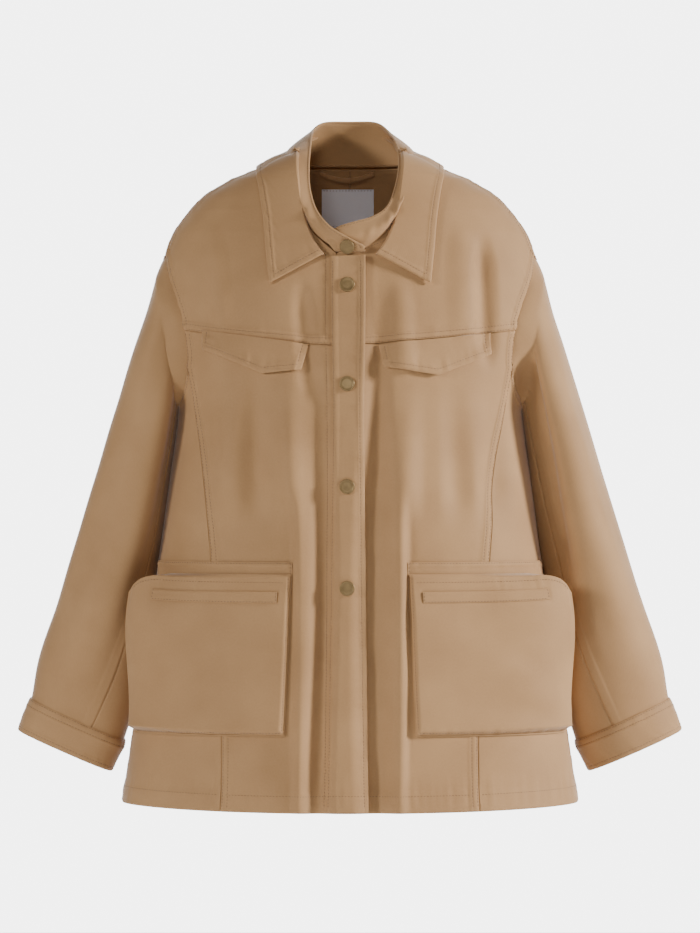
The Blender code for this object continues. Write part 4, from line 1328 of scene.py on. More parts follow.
@dataclass
class Sleeve:
    """Two-piece sleeve with its cuff."""

    pattern: Pattern
    side: int                        # 1 on the +X side, -1 on the other
    tag: str                         # L or R, as the wearer has it
    folds: tuple[SleeveFold, ...]
    power: float = 2.1               # 2 is an ellipse, higher is squarer
    wall: float = 1.2 * MM
    head_tuck: float = 5.0 * MM      # how far the head runs in under the body's edge
    head_drop: float = 2.4 * MM      # how far it lies below the body's outer face
    front_drop: float = 4.0 * MM     # how much further in front, where the sleeve hangs back
    front_at: float = 125.0          # where that is, in degrees round the armhole
    front_half: float = 75.0
    rest_angle: float = 196.0        # where the sleeve rests against the body, in degrees round it
    rest_half: float = 62.0          # and how far round, to either side
    rest_out: float = 8.0 * MM       # how much fuller it is there
    swell: float = 0.9 * MM          # small swells between the folds
    swell_size: float = 0.075
    cap_bow: float = 0.05            # how far the cap rounds over, as a share of its length
    cuff_at: float = 9.0 / 11.0      # share of the length at which the cuff begins
    under_cuff: float = 0.02         # share of it that runs on under the cuff
    cuff_lap: float = 2.6 * MM       # how far the cuff stands off the sleeve
    cuff_wall: float = 2.0 * MM
    cuff_tall: float = 56.0 * MM
    cuff_rows: tuple[float, float] = (1.4 * MM, 7.4 * MM)
    cuff_end_row: float = 5.2 * MM
    # degrees round the sleeve of its two seams, the front one from the head down to the cuff
    head_seam: float = 12 * 180 / 14
    front_seam: tuple[Row, ...] = ((head_seam,), (154,), (152,), (144,), (122,), (102,))
    back_seam: float = 240.0
    # outer x, outer z, inner x, inner z, middle y, half depth
    rings: tuple[Row, ...] = (
        (0.2085, -0.108, 0.1870, -0.252, 0.003, 0.059), (0.2180, -0.146, 0.1880, -0.258, 0.004, 0.063),
        (0.2310, -0.184, 0.1895, -0.270, 0.006, 0.067), (0.2460, -0.234, 0.1920, -0.290, 0.008, 0.069),
        (0.2610, -0.282, 0.1955, -0.316, 0.011, 0.069), (0.2760, -0.333, 0.2020, -0.362, 0.014, 0.067),
        (0.2960, -0.396, 0.2115, -0.428, 0.018, 0.062), (0.3170, -0.462, 0.2230, -0.498, 0.022, 0.056),
        (0.3380, -0.524, 0.2350, -0.564, 0.026, 0.048), (0.3460, -0.566, 0.2450, -0.611, 0.029, 0.042),
        (0.3530, -0.586, 0.2530, -0.628, 0.030, 0.039), (0.3570, -0.602, 0.2620, -0.644, 0.031, 0.036),
    )

    def ring(self, t: np.ndarray, angle: np.ndarray, out: np.ndarray | float = 0.0) -> np.ndarray:
        """Points of the +X sleeve.

        Args:
            t: share of the length, from head to cuff end.
            angle: degrees round it, from the outside over the front.
            out: distance off the sleeve.

        Returns:
            One point for each pair.
        """
        row = spline(self.rings, t)
        outer = np.stack([row[..., 0], np.zeros_like(t), row[..., 1]], axis=-1)
        inner = np.stack([row[..., 2], np.zeros_like(t), row[..., 3]], axis=-1)
        centre, half = (outer + inner) / 2, (outer - inner) / 2
        centre[..., 1] = row[..., 4]
        a = np.radians(angle)[..., None]
        depth = row[..., 5:6]
        front = np.array([0.0, -1.0, 0.0])
        c, s = np.cos(a), np.sin(a)
        p = 2.0 / self.power
        along_half = np.sign(c) * np.abs(c) ** p
        along_front = np.sign(s) * np.abs(s) ** p
        normal = unit(unit(half) * np.sign(c) * np.abs(c) ** (2.0 - p) * depth
                      + front * np.sign(s) * np.abs(s) ** (2.0 - p)
                      * np.linalg.norm(half, axis=-1, keepdims=True))
        return (centre + half * along_half + front * depth * along_front
                + normal * np.asarray(out)[..., None])

    def head(self, angle: np.ndarray) -> np.ndarray:
        """Points of the +X side just under the body's edge round the armhole."""
        drape = self.pattern.drape

        def seam(a: np.ndarray) -> tuple[np.ndarray, np.ndarray]:
            a = a % 360.0
            front = spline(self.pattern.armhole_front, a / 180.0)
            back = spline(self.pattern.armhole_back, (360.0 - a) / 180.0)
            line = np.where((a <= 180.0)[:, None], front, back)
            drop = self.head_drop + self.front_drop * hill((a - self.front_at) / self.front_half)
            return drape.at(line[:, 0], line[:, 1], -drop), drape.form.normal(line[:, 0], line[:, 1])

        centre = seam(np.arange(0.0, 360.0, 3.0))[0].mean(axis=0)
        points, normals = seam(angle)
        away = points - centre
        away = unit(away - normals * (away * normals).sum(axis=1, keepdims=True))
        return points + away * self.head_tuck

    def piece(self, first: tuple[float, float], last: tuple[float, float], seeds: int) -> Cut:
        """One piece of the sleeve.

        Args:
            first: its first edge, as kind (0 a fixed angle, 1 the front seam) and angle.
            last: the same for its other edge.
            seeds: number of its small swells.

        Returns:
            Its cut, with columns from left to right as seen from outside.
        """
        stop = self.cuff_at + self.under_cuff
        count = 90
        across = graded(0.19 if first[0] == 0 else 0.12, 3.2 * MM)
        t = np.linspace(0.0, stop, count)
        seam = spline(self.front_seam, t / stop)[:, 0]

        def edge(kind: tuple[float, float]) -> np.ndarray:
            return seam if kind[0] else np.full(count, kind[1])

        a, b = edge(first)[:, None], edge(last)[:, None]
        angle = a + (b - a) * across[None, :]
        rows = self.ring(np.repeat(t[:, None], len(across), axis=1), angle)
        top = self.head(first[1] + (last[1] - first[1]) * across)
        # the cap of the sleeve rounds over from the seam to the first ring
        cap = []
        for share in (0.25, 0.5, 0.75):
            blend = top * (1 - share) + rows[0] * share
            tangent = unit(rows[3] - rows[0])
            bow = (np.linalg.norm(rows[0] - top, axis=1, keepdims=True) * self.cap_bow
                   * math.sin(math.pi * share))
            out = unit(blend - blend.mean(axis=0))
            out = unit(out - tangent * (out * tangent).sum(axis=1, keepdims=True))
            cap.append(blend + out * bow)
        columns = np.concatenate([top[None], np.array(cap), rows])
        length = np.linalg.norm(np.diff(columns, axis=0), axis=2).sum(axis=0).max()
        shares = graded(length, 3.2 * MM)
        grid = np.empty((len(shares), len(across), 3))
        for k in range(len(across)):
            fine = spline(columns[:, k], np.linspace(0, 1, 500))
            walk = walked(fine)
            for c in range(3):
                grid[:, k, c] = np.interp(shares * walk[-1], walk, fine[:, c])
        grid = grid * np.array([self.side, 1, 1])
        grid = grid[:, ::-1] if self.side > 0 else grid
        cut = Cut(grid)
        turned = np.repeat((first[1] + (last[1] - first[1]) * across)[None], len(shares), axis=0)
        turned = turned[:, ::-1] if self.side > 0 else turned
        place = np.repeat(shares[:, None], len(across), axis=1)
        height = sum(fold.height_at(turned, place) for fold in self.folds)
        fade = ease(place / 0.06)
        height = (height + self.swell * ripples(grid, self.swell_size, seeds)) * fade
        # below the armpit the sleeve rests against the body, a little behind its middle
        against = (hill((turned - self.rest_angle) / self.rest_half) * ease(place / 0.02)
                   * ease((1 - place) / 0.2))
        height = height + self.rest_out * against
        return cut.raise_by(height)

    def build(self, room: SewingRoom, thread: Thread) -> None:
        """Make the top sleeve, the under sleeve and the cuff."""
        front_edge, back_edge = edges(self.side > 0)
        top = self.piece((0, self.back_seam - 360), (1, self.head_seam), 31)
        top = dressed(top, (Seam(front_edge, (), raised=0.35 * MM, width=9 * MM),
                            Seam(back_edge, (), raised=0.35 * MM, width=9 * MM),
                            Seam(Edge.TOP, (), raised=0.0, drop=0.9 * MM)), 111)
        room.sew(f"sleeve_top_{self.tag}", top, self.wall)
        under = self.piece((1, self.head_seam), (0, self.back_seam), 37)
        under = dressed(under, (Seam(front_edge, (), raised=0.0), Seam(back_edge, (), raised=0.0),
                                Seam(Edge.TOP, (), raised=0.0, drop=0.9 * MM)), 113)
        room.sew(f"sleeve_under_{self.tag}", under, self.wall)
        self.cuff(room, thread)

    def cuff(self, room: SewingRoom, thread: Thread) -> None:
        """The straight band at the sleeve's end."""
        angle = np.arange(0.0, 360.0, 3.0)
        down = graded(self.cuff_tall, 2.0 * MM, 0.9 * MM, 9 * MM)
        t, a = np.meshgrid(self.cuff_at + (1 - self.cuff_at) * down, angle, indexing="ij")
        # it stands off at its lower edge, with an uneven swell
        swell = 0.0008 * np.sin(np.radians(2 * a) + 1.0) * ease((t - self.cuff_at) * 6)
        points = self.ring(t, a, self.cuff_lap - 0.0012 * (1 - ease(down / 0.2))[:, None] + swell)
        points = points * np.array([self.side, 1, 1])
        points = points[:, ::-1] if self.side > 0 else points
        cut = Cut(points, closed=True)
        seams = (Seam(Edge.TOP, self.cuff_rows, raised=0.5 * MM, width=8.5 * MM),
                 Seam(Edge.BOTTOM, (self.cuff_end_row,), raised=0.5 * MM, width=6.5 * MM,
                      drop=0.8 * MM))
        cut = dressed(cut, seams, 121 + self.side)
        thread.sew(cut, Edge.TOP, self.cuff_rows)
        thread.sew(cut, Edge.BOTTOM, (self.cuff_end_row,))
        room.sew(f"cuff_{self.tag}", cut, self.cuff_wall)


# ---- neck ------------------------------------------------------------------------------------
@dataclass
class Neck:
    """Funnel neckband and fall collar."""

    pattern: Pattern
    wall: float = 2.4 * MM
    puff: float = 6.0 * MM           # how far the band bows out between its edges
    foot_share: float = 0.965        # where its foot ends, as a share of the way to the neck seam
    band_tall: float = 60.0 * MM
    band_row: float = 3.2 * MM
    band_end_row: float = 5.0 * MM
    quilting: tuple[int, int] = (26, 41)     # small waves between the band's stitches, all round
    puff_at: tuple[float, float] = (0.22, 0.78)      # shares of the band's length at its two sides
    puff_half: float = 0.17
    collar_row: float = 6.3 * MM
    collar_long: float = 0.46
    collar_deep: float = 0.055
    collar_roll: float = 5.0 * MM
    # how far the collar lies off the front, at its fold and at its outer edge
    collar_lift: tuple[float, float] = (0.0066, 0.0042)
    # turn of the band's seam, top x, y, z, lift of the crossing end
    under_end: tuple[Row, ...] = (
        (-8.0, -0.028, -0.0900, -0.070, 0.0), (-4.0, -0.012, -0.0925, -0.060, 0.0),
        (0.0, 0.004, -0.0935, -0.055, 0.0), (4.4, 0.024, -0.0900, -0.049, 0.0),
        (9.3, 0.039, -0.0820, -0.038, 0.0))
    over_end: tuple[Row, ...] = (
        (-4.0, -0.016, -0.1030, -0.082, 0.0042), (0.0, 0.002, -0.1030, -0.072, 0.0042),
        (4.4, 0.021, -0.0980, -0.060, 0.0036), (9.3, 0.035, -0.0850, -0.042, 0.0010))
    # the band leans a little to the wearer's left
    under_side: tuple[Row, ...] = (
        (14.5, 0.047, -0.0660, -0.018, 0.0), (21.0, 0.051, -0.0460, 0.003, 0.0),
        (34.0, 0.051, -0.0260, 0.021, 0.0), (51.0, 0.048, -0.0080, 0.034, 0.0),
        (80.0, 0.044, 0.0080, 0.043, 0.0), (110.0, 0.039, 0.0260, 0.051, 0.0),
        (145.0, 0.028, 0.0410, 0.060, 0.0), (180.0, 0.000, 0.0460, 0.061, 0.0))
    over_side: tuple[Row, ...] = (
        (14.5, 0.042, -0.0660, -0.018, 0.0), (21.0, 0.043, -0.0460, 0.005, 0.0),
        (34.0, 0.042, -0.0260, 0.024, 0.0), (51.0, 0.041, -0.0080, 0.036, 0.0),
        (80.0, 0.040, 0.0080, 0.045, 0.0), (110.0, 0.038, 0.0260, 0.052, 0.0),
        (145.0, 0.028, 0.0410, 0.060, 0.0))
    # fold x, y, z, outer edge x, y, z, and how far it follows the front
    fall: tuple[Row, ...] = (
        (0.027, -0.097, -0.091, 0.085, -0.090, -0.122, 1.0),
        (0.038, -0.090, -0.075, 0.089, -0.080, -0.086, 1.0),
        (0.047, -0.080, -0.051, 0.092, -0.070, -0.052, 1.0),
        (0.052, -0.066, -0.024, 0.096, -0.056, -0.024, 1.0),
        (0.054, -0.050, 0.002, 0.100, -0.043, -0.003, 0.7),
        (0.053, -0.030, 0.019, 0.101, -0.018, 0.007, 0.0),
        (0.050, -0.004, 0.029, 0.101, 0.014, 0.006, 0.0),
        (0.047, 0.020, 0.037, 0.096, 0.040, 0.001, 0.0),
        (0.041, 0.041, 0.044, 0.080, 0.064, -0.009, 0.0),
        (0.024, 0.055, 0.050, 0.046, 0.080, -0.013, 0.0),
        (0.000, 0.060, 0.053, 0.000, 0.086, -0.014, 0.0))

    def band(self, room: SewingRoom, thread: Thread) -> None:
        """The neckband, from the end that tucks under, round the back, to the end on top."""
        rows = [list(row) for row in self.under_end + self.under_side]
        for turn, x, y, z, lift in (self.over_end + self.over_side)[::-1]:
            rows.append([360.0 - turn, -x, y, z, lift])
        across = np.linspace(0, 1, 281)
        station = spline(rows, across)
        turns, line = self.pattern.neck_seam()
        seam = np.stack([np.interp(station[:, 0], turns, line[:, c]) for c in range(3)], axis=1)
        lift = station[:, 4]
        seam[:, 1] -= lift
        top = station[:, 1:4]
        away = unit(seam * np.array([1.0, 1.0, 0.0]))
        v = graded(self.band_tall, 1.6 * MM, 0.8 * MM, 6 * MM)[:, None, None]
        points = top[None] * (1 - v * self.foot_share) + seam[None] * v * self.foot_share
        calm = np.clip(1.0 - lift / 0.005, 0, 1)[None, :, None]
        # the two layers are quilted by their stitches, so the sides puff out in small waves
        side = sum(hill((across - at) / self.puff_half) for at in self.puff_at)[None, :, None]
        wide, close = (across * 2 * np.pi * count for count in self.quilting)
        wave = (0.5 + 0.28 * np.sin(wide) + 0.22 * np.sin(close + 1))[None, :, None]
        bow = (self.puff * np.sin(np.pi * v)
               + self.puff * side * hill((v - 0.55) / 0.4) * (0.5 + 0.5 * wave))
        points = points + away[None] * bow * calm
        cut = Cut(points)
        seams = (Seam(Edge.TOP, (), raised=0.5 * MM, width=2.5 * MM, drop=0.9 * MM),
                 Seam(Edge.RIGHT, (self.band_end_row,), raised=0.4 * MM, width=6 * MM, drop=0.8 * MM),
                 Seam(Edge.LEFT, (), raised=0.3 * MM), Seam(Edge.BOTTOM, (), raised=0.0))
        cut = dressed(cut, seams, 131)
        thread.sew(cut, Edge.TOP, (self.band_row,), start=0.004, end=0.004)
        thread.sew(cut, Edge.RIGHT, (self.band_end_row,), start=0.003, end=0.004)
        room.sew("neckband", cut, self.wall)

    def collar(self, room: SewingRoom, thread: Thread) -> None:
        """The fall collar, folded over from the neckband."""
        form = self.pattern.drape.form
        rows = [list(row) for row in self.fall]
        rows += [[-row[0], row[1], row[2], -row[3], row[4], row[5], row[6]]
                 for row in self.fall[-2::-1]]
        across = graded(self.collar_long, 2.0 * MM, 1.0 * MM, 11 * MM)
        station = spline(rows, across)
        v = graded(self.collar_deep, 1.8 * MM, 1.0 * MM, 10 * MM)[:, None, None]
        fold, edge, lie = station[:, 0:3], station[:, 3:6], station[:, 6][None, :, None]
        points = fold[None] * (1 - v) + edge[None] * v
        roll = unit(points * np.array([1.0, 1.0, 0.0])) * 0.5 + np.array([0, 0, 0.85])
        high = points + roll * self.collar_roll * np.sin(np.pi * v) * (1.0 - lie)
        x, z = points[..., 0], points[..., 2]
        lifts = between(self.collar_lift, v[..., 0])
        flat = self.pattern.drape.at(form.turn_at(x, z), z, lifts + 0 * x)
        inside = ((points[..., 1] < -0.010) & (np.abs(x) < form.section(z)[0])
                  & (high[..., 1] > flat[..., 1]))[..., None]
        points = np.where(inside, flat, high * (1 - lie) + flat * lie)
        cut = Cut(points)
        row = self.collar_row
        seams = [Seam(edge_name, (row,), raised=0.6 * MM, width=row + 1.0 * MM, drop=1.1 * MM,
                      pucker=0.3 * MM) for edge_name in (Edge.LEFT, Edge.RIGHT, Edge.BOTTOM)]
        seams.append(Seam(Edge.TOP, (), raised=0.0, drop=3.0 * MM))
        cut = dressed(cut, seams, 141)
        thread.sew(cut, Edge.BOTTOM, (row,), start=row, end=row)
        for side in (Edge.LEFT, Edge.RIGHT):
            thread.sew(cut, side, (row,), start=0.004, end=row)
        room.sew("collar", cut, self.wall, held="folded")

    def build(self, room: SewingRoom, thread: Thread) -> None:
        """Make the band and the collar."""
        self.band(room, thread)
        self.collar(room, thread)


def surface_of(*names: str) -> list[BVHTree]:
    """The finished surfaces of some pieces, to lay others on."""
    bpy.context.view_layer.update()
    graph = bpy.context.evaluated_depsgraph_get()
    return [BVHTree.FromObject(bpy.data.objects[name], graph) for name in names]


def first_hit(trees: Sequence[BVHTree], start: Sequence[float], aim: Sequence[float]
              ) -> tuple[Vector, Vector]:
    """The nearest point that a ray meets on any of the surfaces, and its normal."""
    hits = [tree.ray_cast(Vector(start), Vector(aim)) for tree in trees]
    hits = [hit for hit in hits if hit[0] is not None]
    best = min(hits, key=lambda hit: hit[3])
    return best[0], best[1]


def seats(trees: Sequence[BVHTree], x: np.ndarray, z: np.ndarray) -> np.ndarray:
    """How far back the inside of the back lies at some places."""
    # the rays pass a little beside the middle seam, where no face could be missed
    return np.array([first_hit(trees, (a + 1e-4, 0.0, b), (0, 1, 0))[0].y for a, b in zip(x, z)])


@dataclass
class InsideBack:
    """Hanger loop and bare label on the inside of the back."""

    loop_x: tuple[float, float] = (-0.033, 0.026)
    loop_top: float = 0.0070
    loop_tall: float = 5.5 * MM
    loop_half: float = 0.9 * MM      # half its thickness
    loop_hang: tuple[float, float] = (7.5 * MM, 9.0 * MM)    # how far its middle hangs down and out
    loop_gap: float = 2.0 * MM
    loop_flat: tuple[float, float] = (0.012, 0.072)          # the strap before it is folded
    loop_area: float = 0.00042
    label_x: tuple[float, float] = (-0.0310, 0.0260)
    label_z: tuple[float, float] = (-0.012, -0.053)
    label_gap: float = 1.0 * MM
    label_wave: float = 0.3 * MM
    label_wall: float = 0.5 * MM
    label_row: float = 1.5 * MM

    def loop(self, room: SewingRoom, trees: Sequence[BVHTree]) -> None:
        """A narrow folded strap that hangs in a bow from two points of the neck seam."""
        u = np.linspace(0, 1, 61)
        hang = np.sin(np.pi * u)
        x = between(self.loop_x, u)
        z = self.loop_top - self.loop_hang[0] * hang
        depth = seats(trees, x, z)
        centre = np.stack([x, depth - self.loop_gap - self.loop_hang[1] * hang,
                           z - self.loop_tall / 2], axis=1)
        # a flattened oval, closed round the strap
        turn = np.linspace(0, 2 * np.pi, 17)[:-1]
        ring = np.stack([np.zeros(16), self.loop_half * np.cos(turn),
                         0.5 * self.loop_tall * np.sin(turn)], axis=1)
        points = centre[None, :, :] + ring[:, None, :]
        cut = Cut(np.concatenate([points, points[:1]]))
        mesh = room.mesh_of("hanger_loop_cloth", cut)
        # the loop takes the darker twill: painted shade for its place inside the back neck
        obj = room.finish("hanger_loop_cloth", mesh, room.cloth_painted_shade, "cloth")
        clean(obj)
        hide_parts("hanger_loop")
        room.sizes["hanger_loop_cloth"] = (*self.loop_flat, self.loop_area)

    def label(self, room: SewingRoom, satin: bpy.types.Material, trees: Sequence[BVHTree],
              thread: Thread) -> None:
        """A plain woven label, sewn on along its top and foot."""
        u, v = np.meshgrid(np.linspace(0, 1, 49), np.linspace(0, 1, 37))
        x = between(self.label_x, u)
        z = between(self.label_z, v)
        y = np.array([seats(trees, p, q) for p, q in zip(x[::6, ::6], z[::6, ::6])])
        # between the seated points the tape runs smoothly
        rows = spline(y.T, np.linspace(0, 1, 49)).T
        y = spline(rows, np.linspace(0, 1, 37))
        y = y - self.label_gap - self.label_wave * np.sin(np.pi * v) * np.sin(2 * np.pi * u + 0.6)
        cut = Cut(np.stack([x, y, z], axis=-1))
        room.sew("label", cut, self.label_wall, suffix="tape", slot="label", allowance=0.0,
                 cloth=satin)
        for edge in (Edge.TOP, Edge.BOTTOM):
            thread.sew(cut, edge, (self.label_row,), start=0.001, end=0.001)

    def build(self, room: SewingRoom, satin: bpy.types.Material, thread: Thread) -> None:
        """Make both."""
        trees = surface_of("back_L_cloth", "back_R_cloth")
        self.loop(room, trees)
        self.label(room, satin, trees, thread)


def clean(obj: bpy.types.Object) -> None:
    """Weld doubled points and turn the faces outward."""
    work = bmesh.new()
    work.from_mesh(obj.data)
    bmesh.ops.remove_doubles(work, verts=work.verts, dist=1e-6)
    bmesh.ops.holes_fill(work, edges=work.edges, sides=40)
    bmesh.ops.recalc_face_normals(work, faces=work.faces)
    work.to_mesh(obj.data)
    work.free()


@dataclass
class SnapCap:
    """A pressed snap cap with a rolled rim round a shallow dish."""

    radius: float = 8.0 * MM
    height: float = 3.0 * MM
    # rings of the face: how far each is set in, and how far it then rises or sinks
    rings: tuple[tuple[float, float], ...] = (
        (1.3 * MM, 0.0), (0.5 * MM, -0.35 * MM), (2.2 * MM, 0.12 * MM), (2.0 * MM, 0.10 * MM))
    edge: float = 0.7 * MM           # radius of the rolled rim

    def model(self, name: str) -> bpy.types.Object:
        """Model one cap at the origin, facing +Z."""
        bpy.ops.object.select_all(action="DESELECT")
        bpy.ops.mesh.primitive_cylinder_add(vertices=64, radius=self.radius, depth=self.height)
        cap = bpy.context.active_object
        cap.name = name
        work = bmesh.new()
        work.from_mesh(cap.data)
        face = max(work.faces, key=lambda f: f.calc_center_median().z)
        for inset, rise in self.rings:
            bmesh.ops.inset_region(work, faces=[face], thickness=inset)
            for vert in face.verts:
                vert.co.z += rise
        work.to_mesh(cap.data)
        work.free()
        bevel = cap.modifiers.new("rolled rim", "BEVEL")
        bevel.width, bevel.segments, bevel.limit_method = self.edge, 4, "ANGLE"
        bevel.angle_limit = math.radians(40)
        bpy.ops.object.modifier_apply(modifier="rolled rim")
        cap.data.shade_smooth()
        return cap


@dataclass
class Snaps:
    """Five caps down the placket, the first on the neckband."""

    form: Form
    x: float = -0.003
    levels: tuple[float, ...] = (-0.078, -0.119, -0.226, -0.337, -0.447)
    sink: float = 0.4 * MM

    def build(self, brass: bpy.types.Material) -> None:
        """Make the caps and press each one into the cloth below it."""
        band, placket = surface_of("neckband_cloth"), surface_of("placket_cloth")
        for k, z in enumerate(self.levels):
            level = float(self.form.seen(self.x, z)[1])
            point, normal = first_hit(band if k == 0 else placket, (self.x, -1.0, level), (0, 1, 0))
            cap = SnapCap().model(f"snap_{k + 1}_cap")
            place = point + normal * (SnapCap.height / 2 - self.sink)
            cap.location = place
            cap.rotation_euler = normal.to_track_quat("Z", "Y").to_euler()
            bpy.ops.object.transform_apply(location=True, rotation=True, scale=True)
            cap.data.materials.append(brass)
            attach(cap, "root")
            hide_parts(f"snap_{k + 1}")
            log.info("%s: %d faces", cap.name, len(cap.data.polygons))


# ---- studio --------------------------------------------------------------------------------
@dataclass(frozen=True)
class Lamp:
    """A soft square area light."""

    name: str
    place: Row
    size: float                  # side of the square
    watts: float
    aim: Row = (0.0, 0.0, -0.35)

    def build(self) -> bpy.types.Object:
        """Make the light."""
        data = bpy.data.lights.new(self.name, "AREA")
        data.energy, data.size = self.watts, self.size
        lamp = bpy.data.objects.new(self.name, data)
        lamp.location = self.place
        way = Vector(self.aim) - Vector(self.place)
        lamp.rotation_euler = way.to_track_quat("-Z", "Y").to_euler()
        bpy.context.scene.collection.objects.link(lamp)
        return lamp


@dataclass
class Studio:
    """Camera, lights and the pale surround."""

    distance: float = 5.0
    view_z: float = -0.315
    lens: float = 178.7          # in mm, as the sensor's width
    sensor: float = 36.0
    clip_end: float = 30.0
    floor_z: float = -1.06
    glow: float = 5.0            # light that the backdrop gives off by itself
    wall_y: float = 8.0          # how far the backdrop stands behind the jacket
    wall_size: float = 10.0
    wall_z: float = 1.47         # height of its middle
    floor_size: float = 4.8
    air: float = 0.05            # light from all round
    lamps: tuple[Lamp, ...] = (
        Lamp("key", (4.0, -1.0, 0.9), 0.7, 300.0),
        Lamp("side", (-3.3, -2.6, 0.7), 0.7, 96.0),
        Lamp("fill", (-0.6, -4.4, 0.6), 0.8, 32.0),
        Lamp("top", (0.2, -0.5, 2.6), 1.0, 10.0, aim=(0.0, 0.0, -0.2)),
    )

    def camera(self) -> None:
        """A level camera in front of the jacket, at the photo's angle."""
        data = bpy.data.cameras.new("photo_camera")
        data.lens, data.sensor_width, data.clip_end = self.lens, self.sensor, self.clip_end
        cam = bpy.data.objects.new("photo_camera", data)
        cam.location = (0.0, -self.distance, self.view_z)
        cam.rotation_euler = (math.radians(90), 0.0, 0.0)
        bpy.context.scene.collection.objects.link(cam)
        bpy.context.scene.camera = cam

    def surround(self) -> list[bpy.types.Object]:
        """A pale floor, and a backdrop that stands well behind the jacket."""
        made = []
        for name, size, place, tilt, glow in (
                ("floor", self.floor_size, (0.0, 0.0, self.floor_z), 0.0, 0.0),
                ("backdrop", self.wall_size, (0.0, self.wall_y, self.wall_z), 90.0, self.glow)):
            bpy.ops.object.select_all(action="DESELECT")
            bpy.ops.mesh.primitive_plane_add(size=size, location=place,
                                             rotation=(math.radians(tilt), 0.0, 0.0))
            obj = bpy.context.active_object
            obj.name = name
            bpy.ops.object.transform_apply(location=True, rotation=True, scale=True)
            obj.data.materials.append(PaperFinish(f"{name}_paper", glow).material())
            made.append(obj)
        return made

    def build(self) -> None:
        """Set up camera, lights and surround."""
        self.camera()
        world = bpy.data.worlds.new("studio_air")
        world.use_nodes = True
        world.node_tree.nodes["Background"].inputs["Color"].default_value = (1, 1, 1, 1)
        world.node_tree.nodes["Background"].inputs["Strength"].default_value = self.air
        bpy.context.scene.world = world
        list(self.surround())
        [lamp.build() for lamp in self.lamps]


# ---- the whole jacket ----------------------------------------------------------------------
FOLDS = (
    # the front: pale ridges and dark troughs that start under the flaps
    Fold(False, -0.126, -0.124, -0.180, -0.620, 0.028, 0.0070),
    Fold(False, -0.096, -0.094, -0.195, -0.560, 0.022, -0.0066),
    Fold(False, -0.060, -0.056, -0.185, -0.700, 0.026, 0.0088),
    Fold(False, -0.031, -0.030, -0.150, -0.760, 0.018, -0.0085),
    Fold(False, 0.026, 0.026, -0.080, -0.800, 0.024, -0.0120),
    Fold(False, 0.062, 0.058, -0.190, -0.720, 0.027, 0.0090),
    Fold(False, 0.114, 0.110, -0.200, -0.640, 0.024, -0.0080),
    Fold(False, 0.152, 0.148, -0.215, -0.580, 0.026, -0.0060),
    # the back: longer swells that widen down to the hem
    Fold(True, -0.120, -0.150, -0.150, -0.690, 0.034, 0.0058),
    Fold(True, -0.064, -0.074, -0.250, -0.700, 0.026, -0.0045),
    Fold(True, 0.012, 0.004, -0.280, -0.720, 0.032, 0.0050),
    Fold(True, 0.070, 0.088, -0.230, -0.700, 0.026, -0.0050),
    Fold(True, 0.124, 0.152, -0.140, -0.690, 0.032, 0.0056),
)
CREASES = (
    # across the yokes, falling from the neck
    Crease(False, (-0.150, -0.050), (-0.132, -0.190), 0.018, 0.0030),
    Crease(False, (-0.052, -0.110), (-0.040, -0.260), 0.016, -0.0050),
    Crease(False, (0.140, -0.060), (0.148, -0.220), 0.017, -0.0080),
    Crease(False, (0.118, -0.050), (0.122, -0.200), 0.022, 0.0032),
    Crease(False, (0.052, -0.110), (0.060, -0.230), 0.018, 0.0036),
    # the back, from the armholes towards the middle
    Crease(True, (-0.160, -0.200), (-0.070, -0.330), 0.020, -0.0030, 0.010),
    Crease(True, (0.165, -0.180), (0.080, -0.300), 0.018, -0.0028, -0.010),
    Crease(True, (-0.060, -0.060), (0.050, -0.064), 0.022, -0.0020),
)


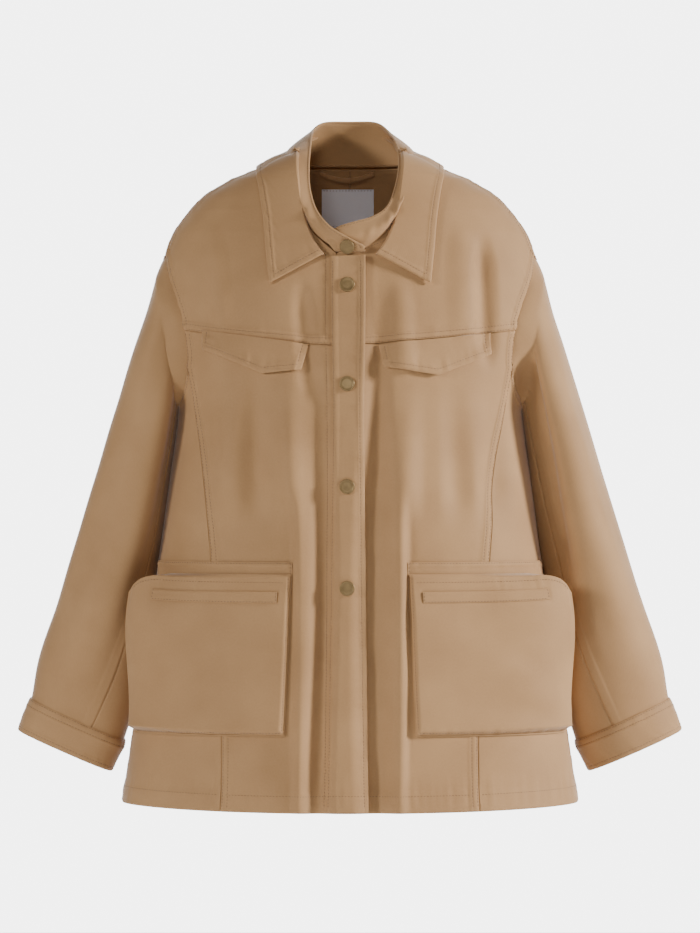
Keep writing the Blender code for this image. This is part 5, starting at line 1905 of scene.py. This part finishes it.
SLEEVE_FOLDS_L = (
    SleeveFold((116, 148), (-0.20, 0.75), 36, -0.0120),
    SleeveFold((72, 80), (0.10, 0.90), 40, 0.0045),
    SleeveFold((-40, -30), (0.10, 0.90), 36, 0.0030),
    SleeveFold((-80, -70), (0.05, 0.70), 26, -0.0035),
    SleeveFold((200, 205), (0.15, 0.85), 30, 0.0025),
)
SLEEVE_FOLDS_R = (
    SleeveFold((120, 112), (-0.10, 0.95), 36, 0.0070),
    SleeveFold((70, 62), (0.15, 0.95), 30, -0.0026),
    SleeveFold((28, 30), (0.05, 0.80), 28, 0.0020),
    SleeveFold((-50, -38), (0.10, 0.80), 34, -0.0034),
    SleeveFold((-92, -80), (0.05, 0.90), 26, 0.0034),
    SleeveFold((205, 200), (0.15, 0.85), 30, 0.0025),
)
# top left, top right, low right, point, low left, as a front view shows them
FLAP_L = ((0.031, -0.184), (0.154, -0.171), (0.152, -0.194), (0.094, -0.217), (0.036, -0.208))
FLAP_R = ((-0.159, -0.168), (-0.045, -0.183), (-0.052, -0.211), (-0.094, -0.215),
          (-0.156, -0.189))


def main() -> None:
    """Build the jacket, its surround and its record of sizes."""
    logging.basicConfig(level=logging.INFO, format="%(message)s")
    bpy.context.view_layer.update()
    for name in ("Cube", "Camera", "Light"):
        if name in bpy.data.objects:
            bpy.data.objects.remove(bpy.data.objects[name], do_unlink=True)

    form = Form()
    drape = Drape(form, FOLDS, CREASES)
    pattern = Pattern(drape)
    # the second twill is the same cloth a little darker, painted shade for the hanger loop inside the
    # neck
    room = SewingRoom(TwillFinish("cotton_twill").material(),
                      TwillFinish("cotton_twill_painted_shade", "A67E55", "97704A").material(),
                      ThreadFinish().material())
    body_thread = Thread("body_stitches")
    BodyPanels(pattern).build(room, body_thread)
    body_thread.build(room)
    front_thread = Thread("front_stitches")
    Placket(drape).build(room, front_thread)
    ChestFlap(drape, "L", FLAP_L, seed=81).build(room, front_thread)
    ChestFlap(drape, "R", FLAP_R, seed=85).build(room, front_thread)
    for side, tag in SIDES:
        LowerPocket(drape, side, tag).build(room, front_thread)
    front_thread.build(room)
    cuff_thread = Thread("cuff_stitches")
    Sleeve(pattern, 1, "L", SLEEVE_FOLDS_L).build(room, cuff_thread)
    Sleeve(pattern, -1, "R", SLEEVE_FOLDS_R, power=2.7).build(room, cuff_thread)
    cuff_thread.build(room)
    neck_thread = Thread("neck_stitches")
    Neck(pattern).build(room, neck_thread)
    InsideBack().build(room, LabelFinish().material(), neck_thread)
    neck_thread.build(room)
    Snaps(form).build(CapFinish().material())

    Studio().build()
    log.info("flat sizes: %s", {k: [round(x, 4) for x in v] for k, v in room.sizes.items()})


if __name__ == "__main__":
    main()
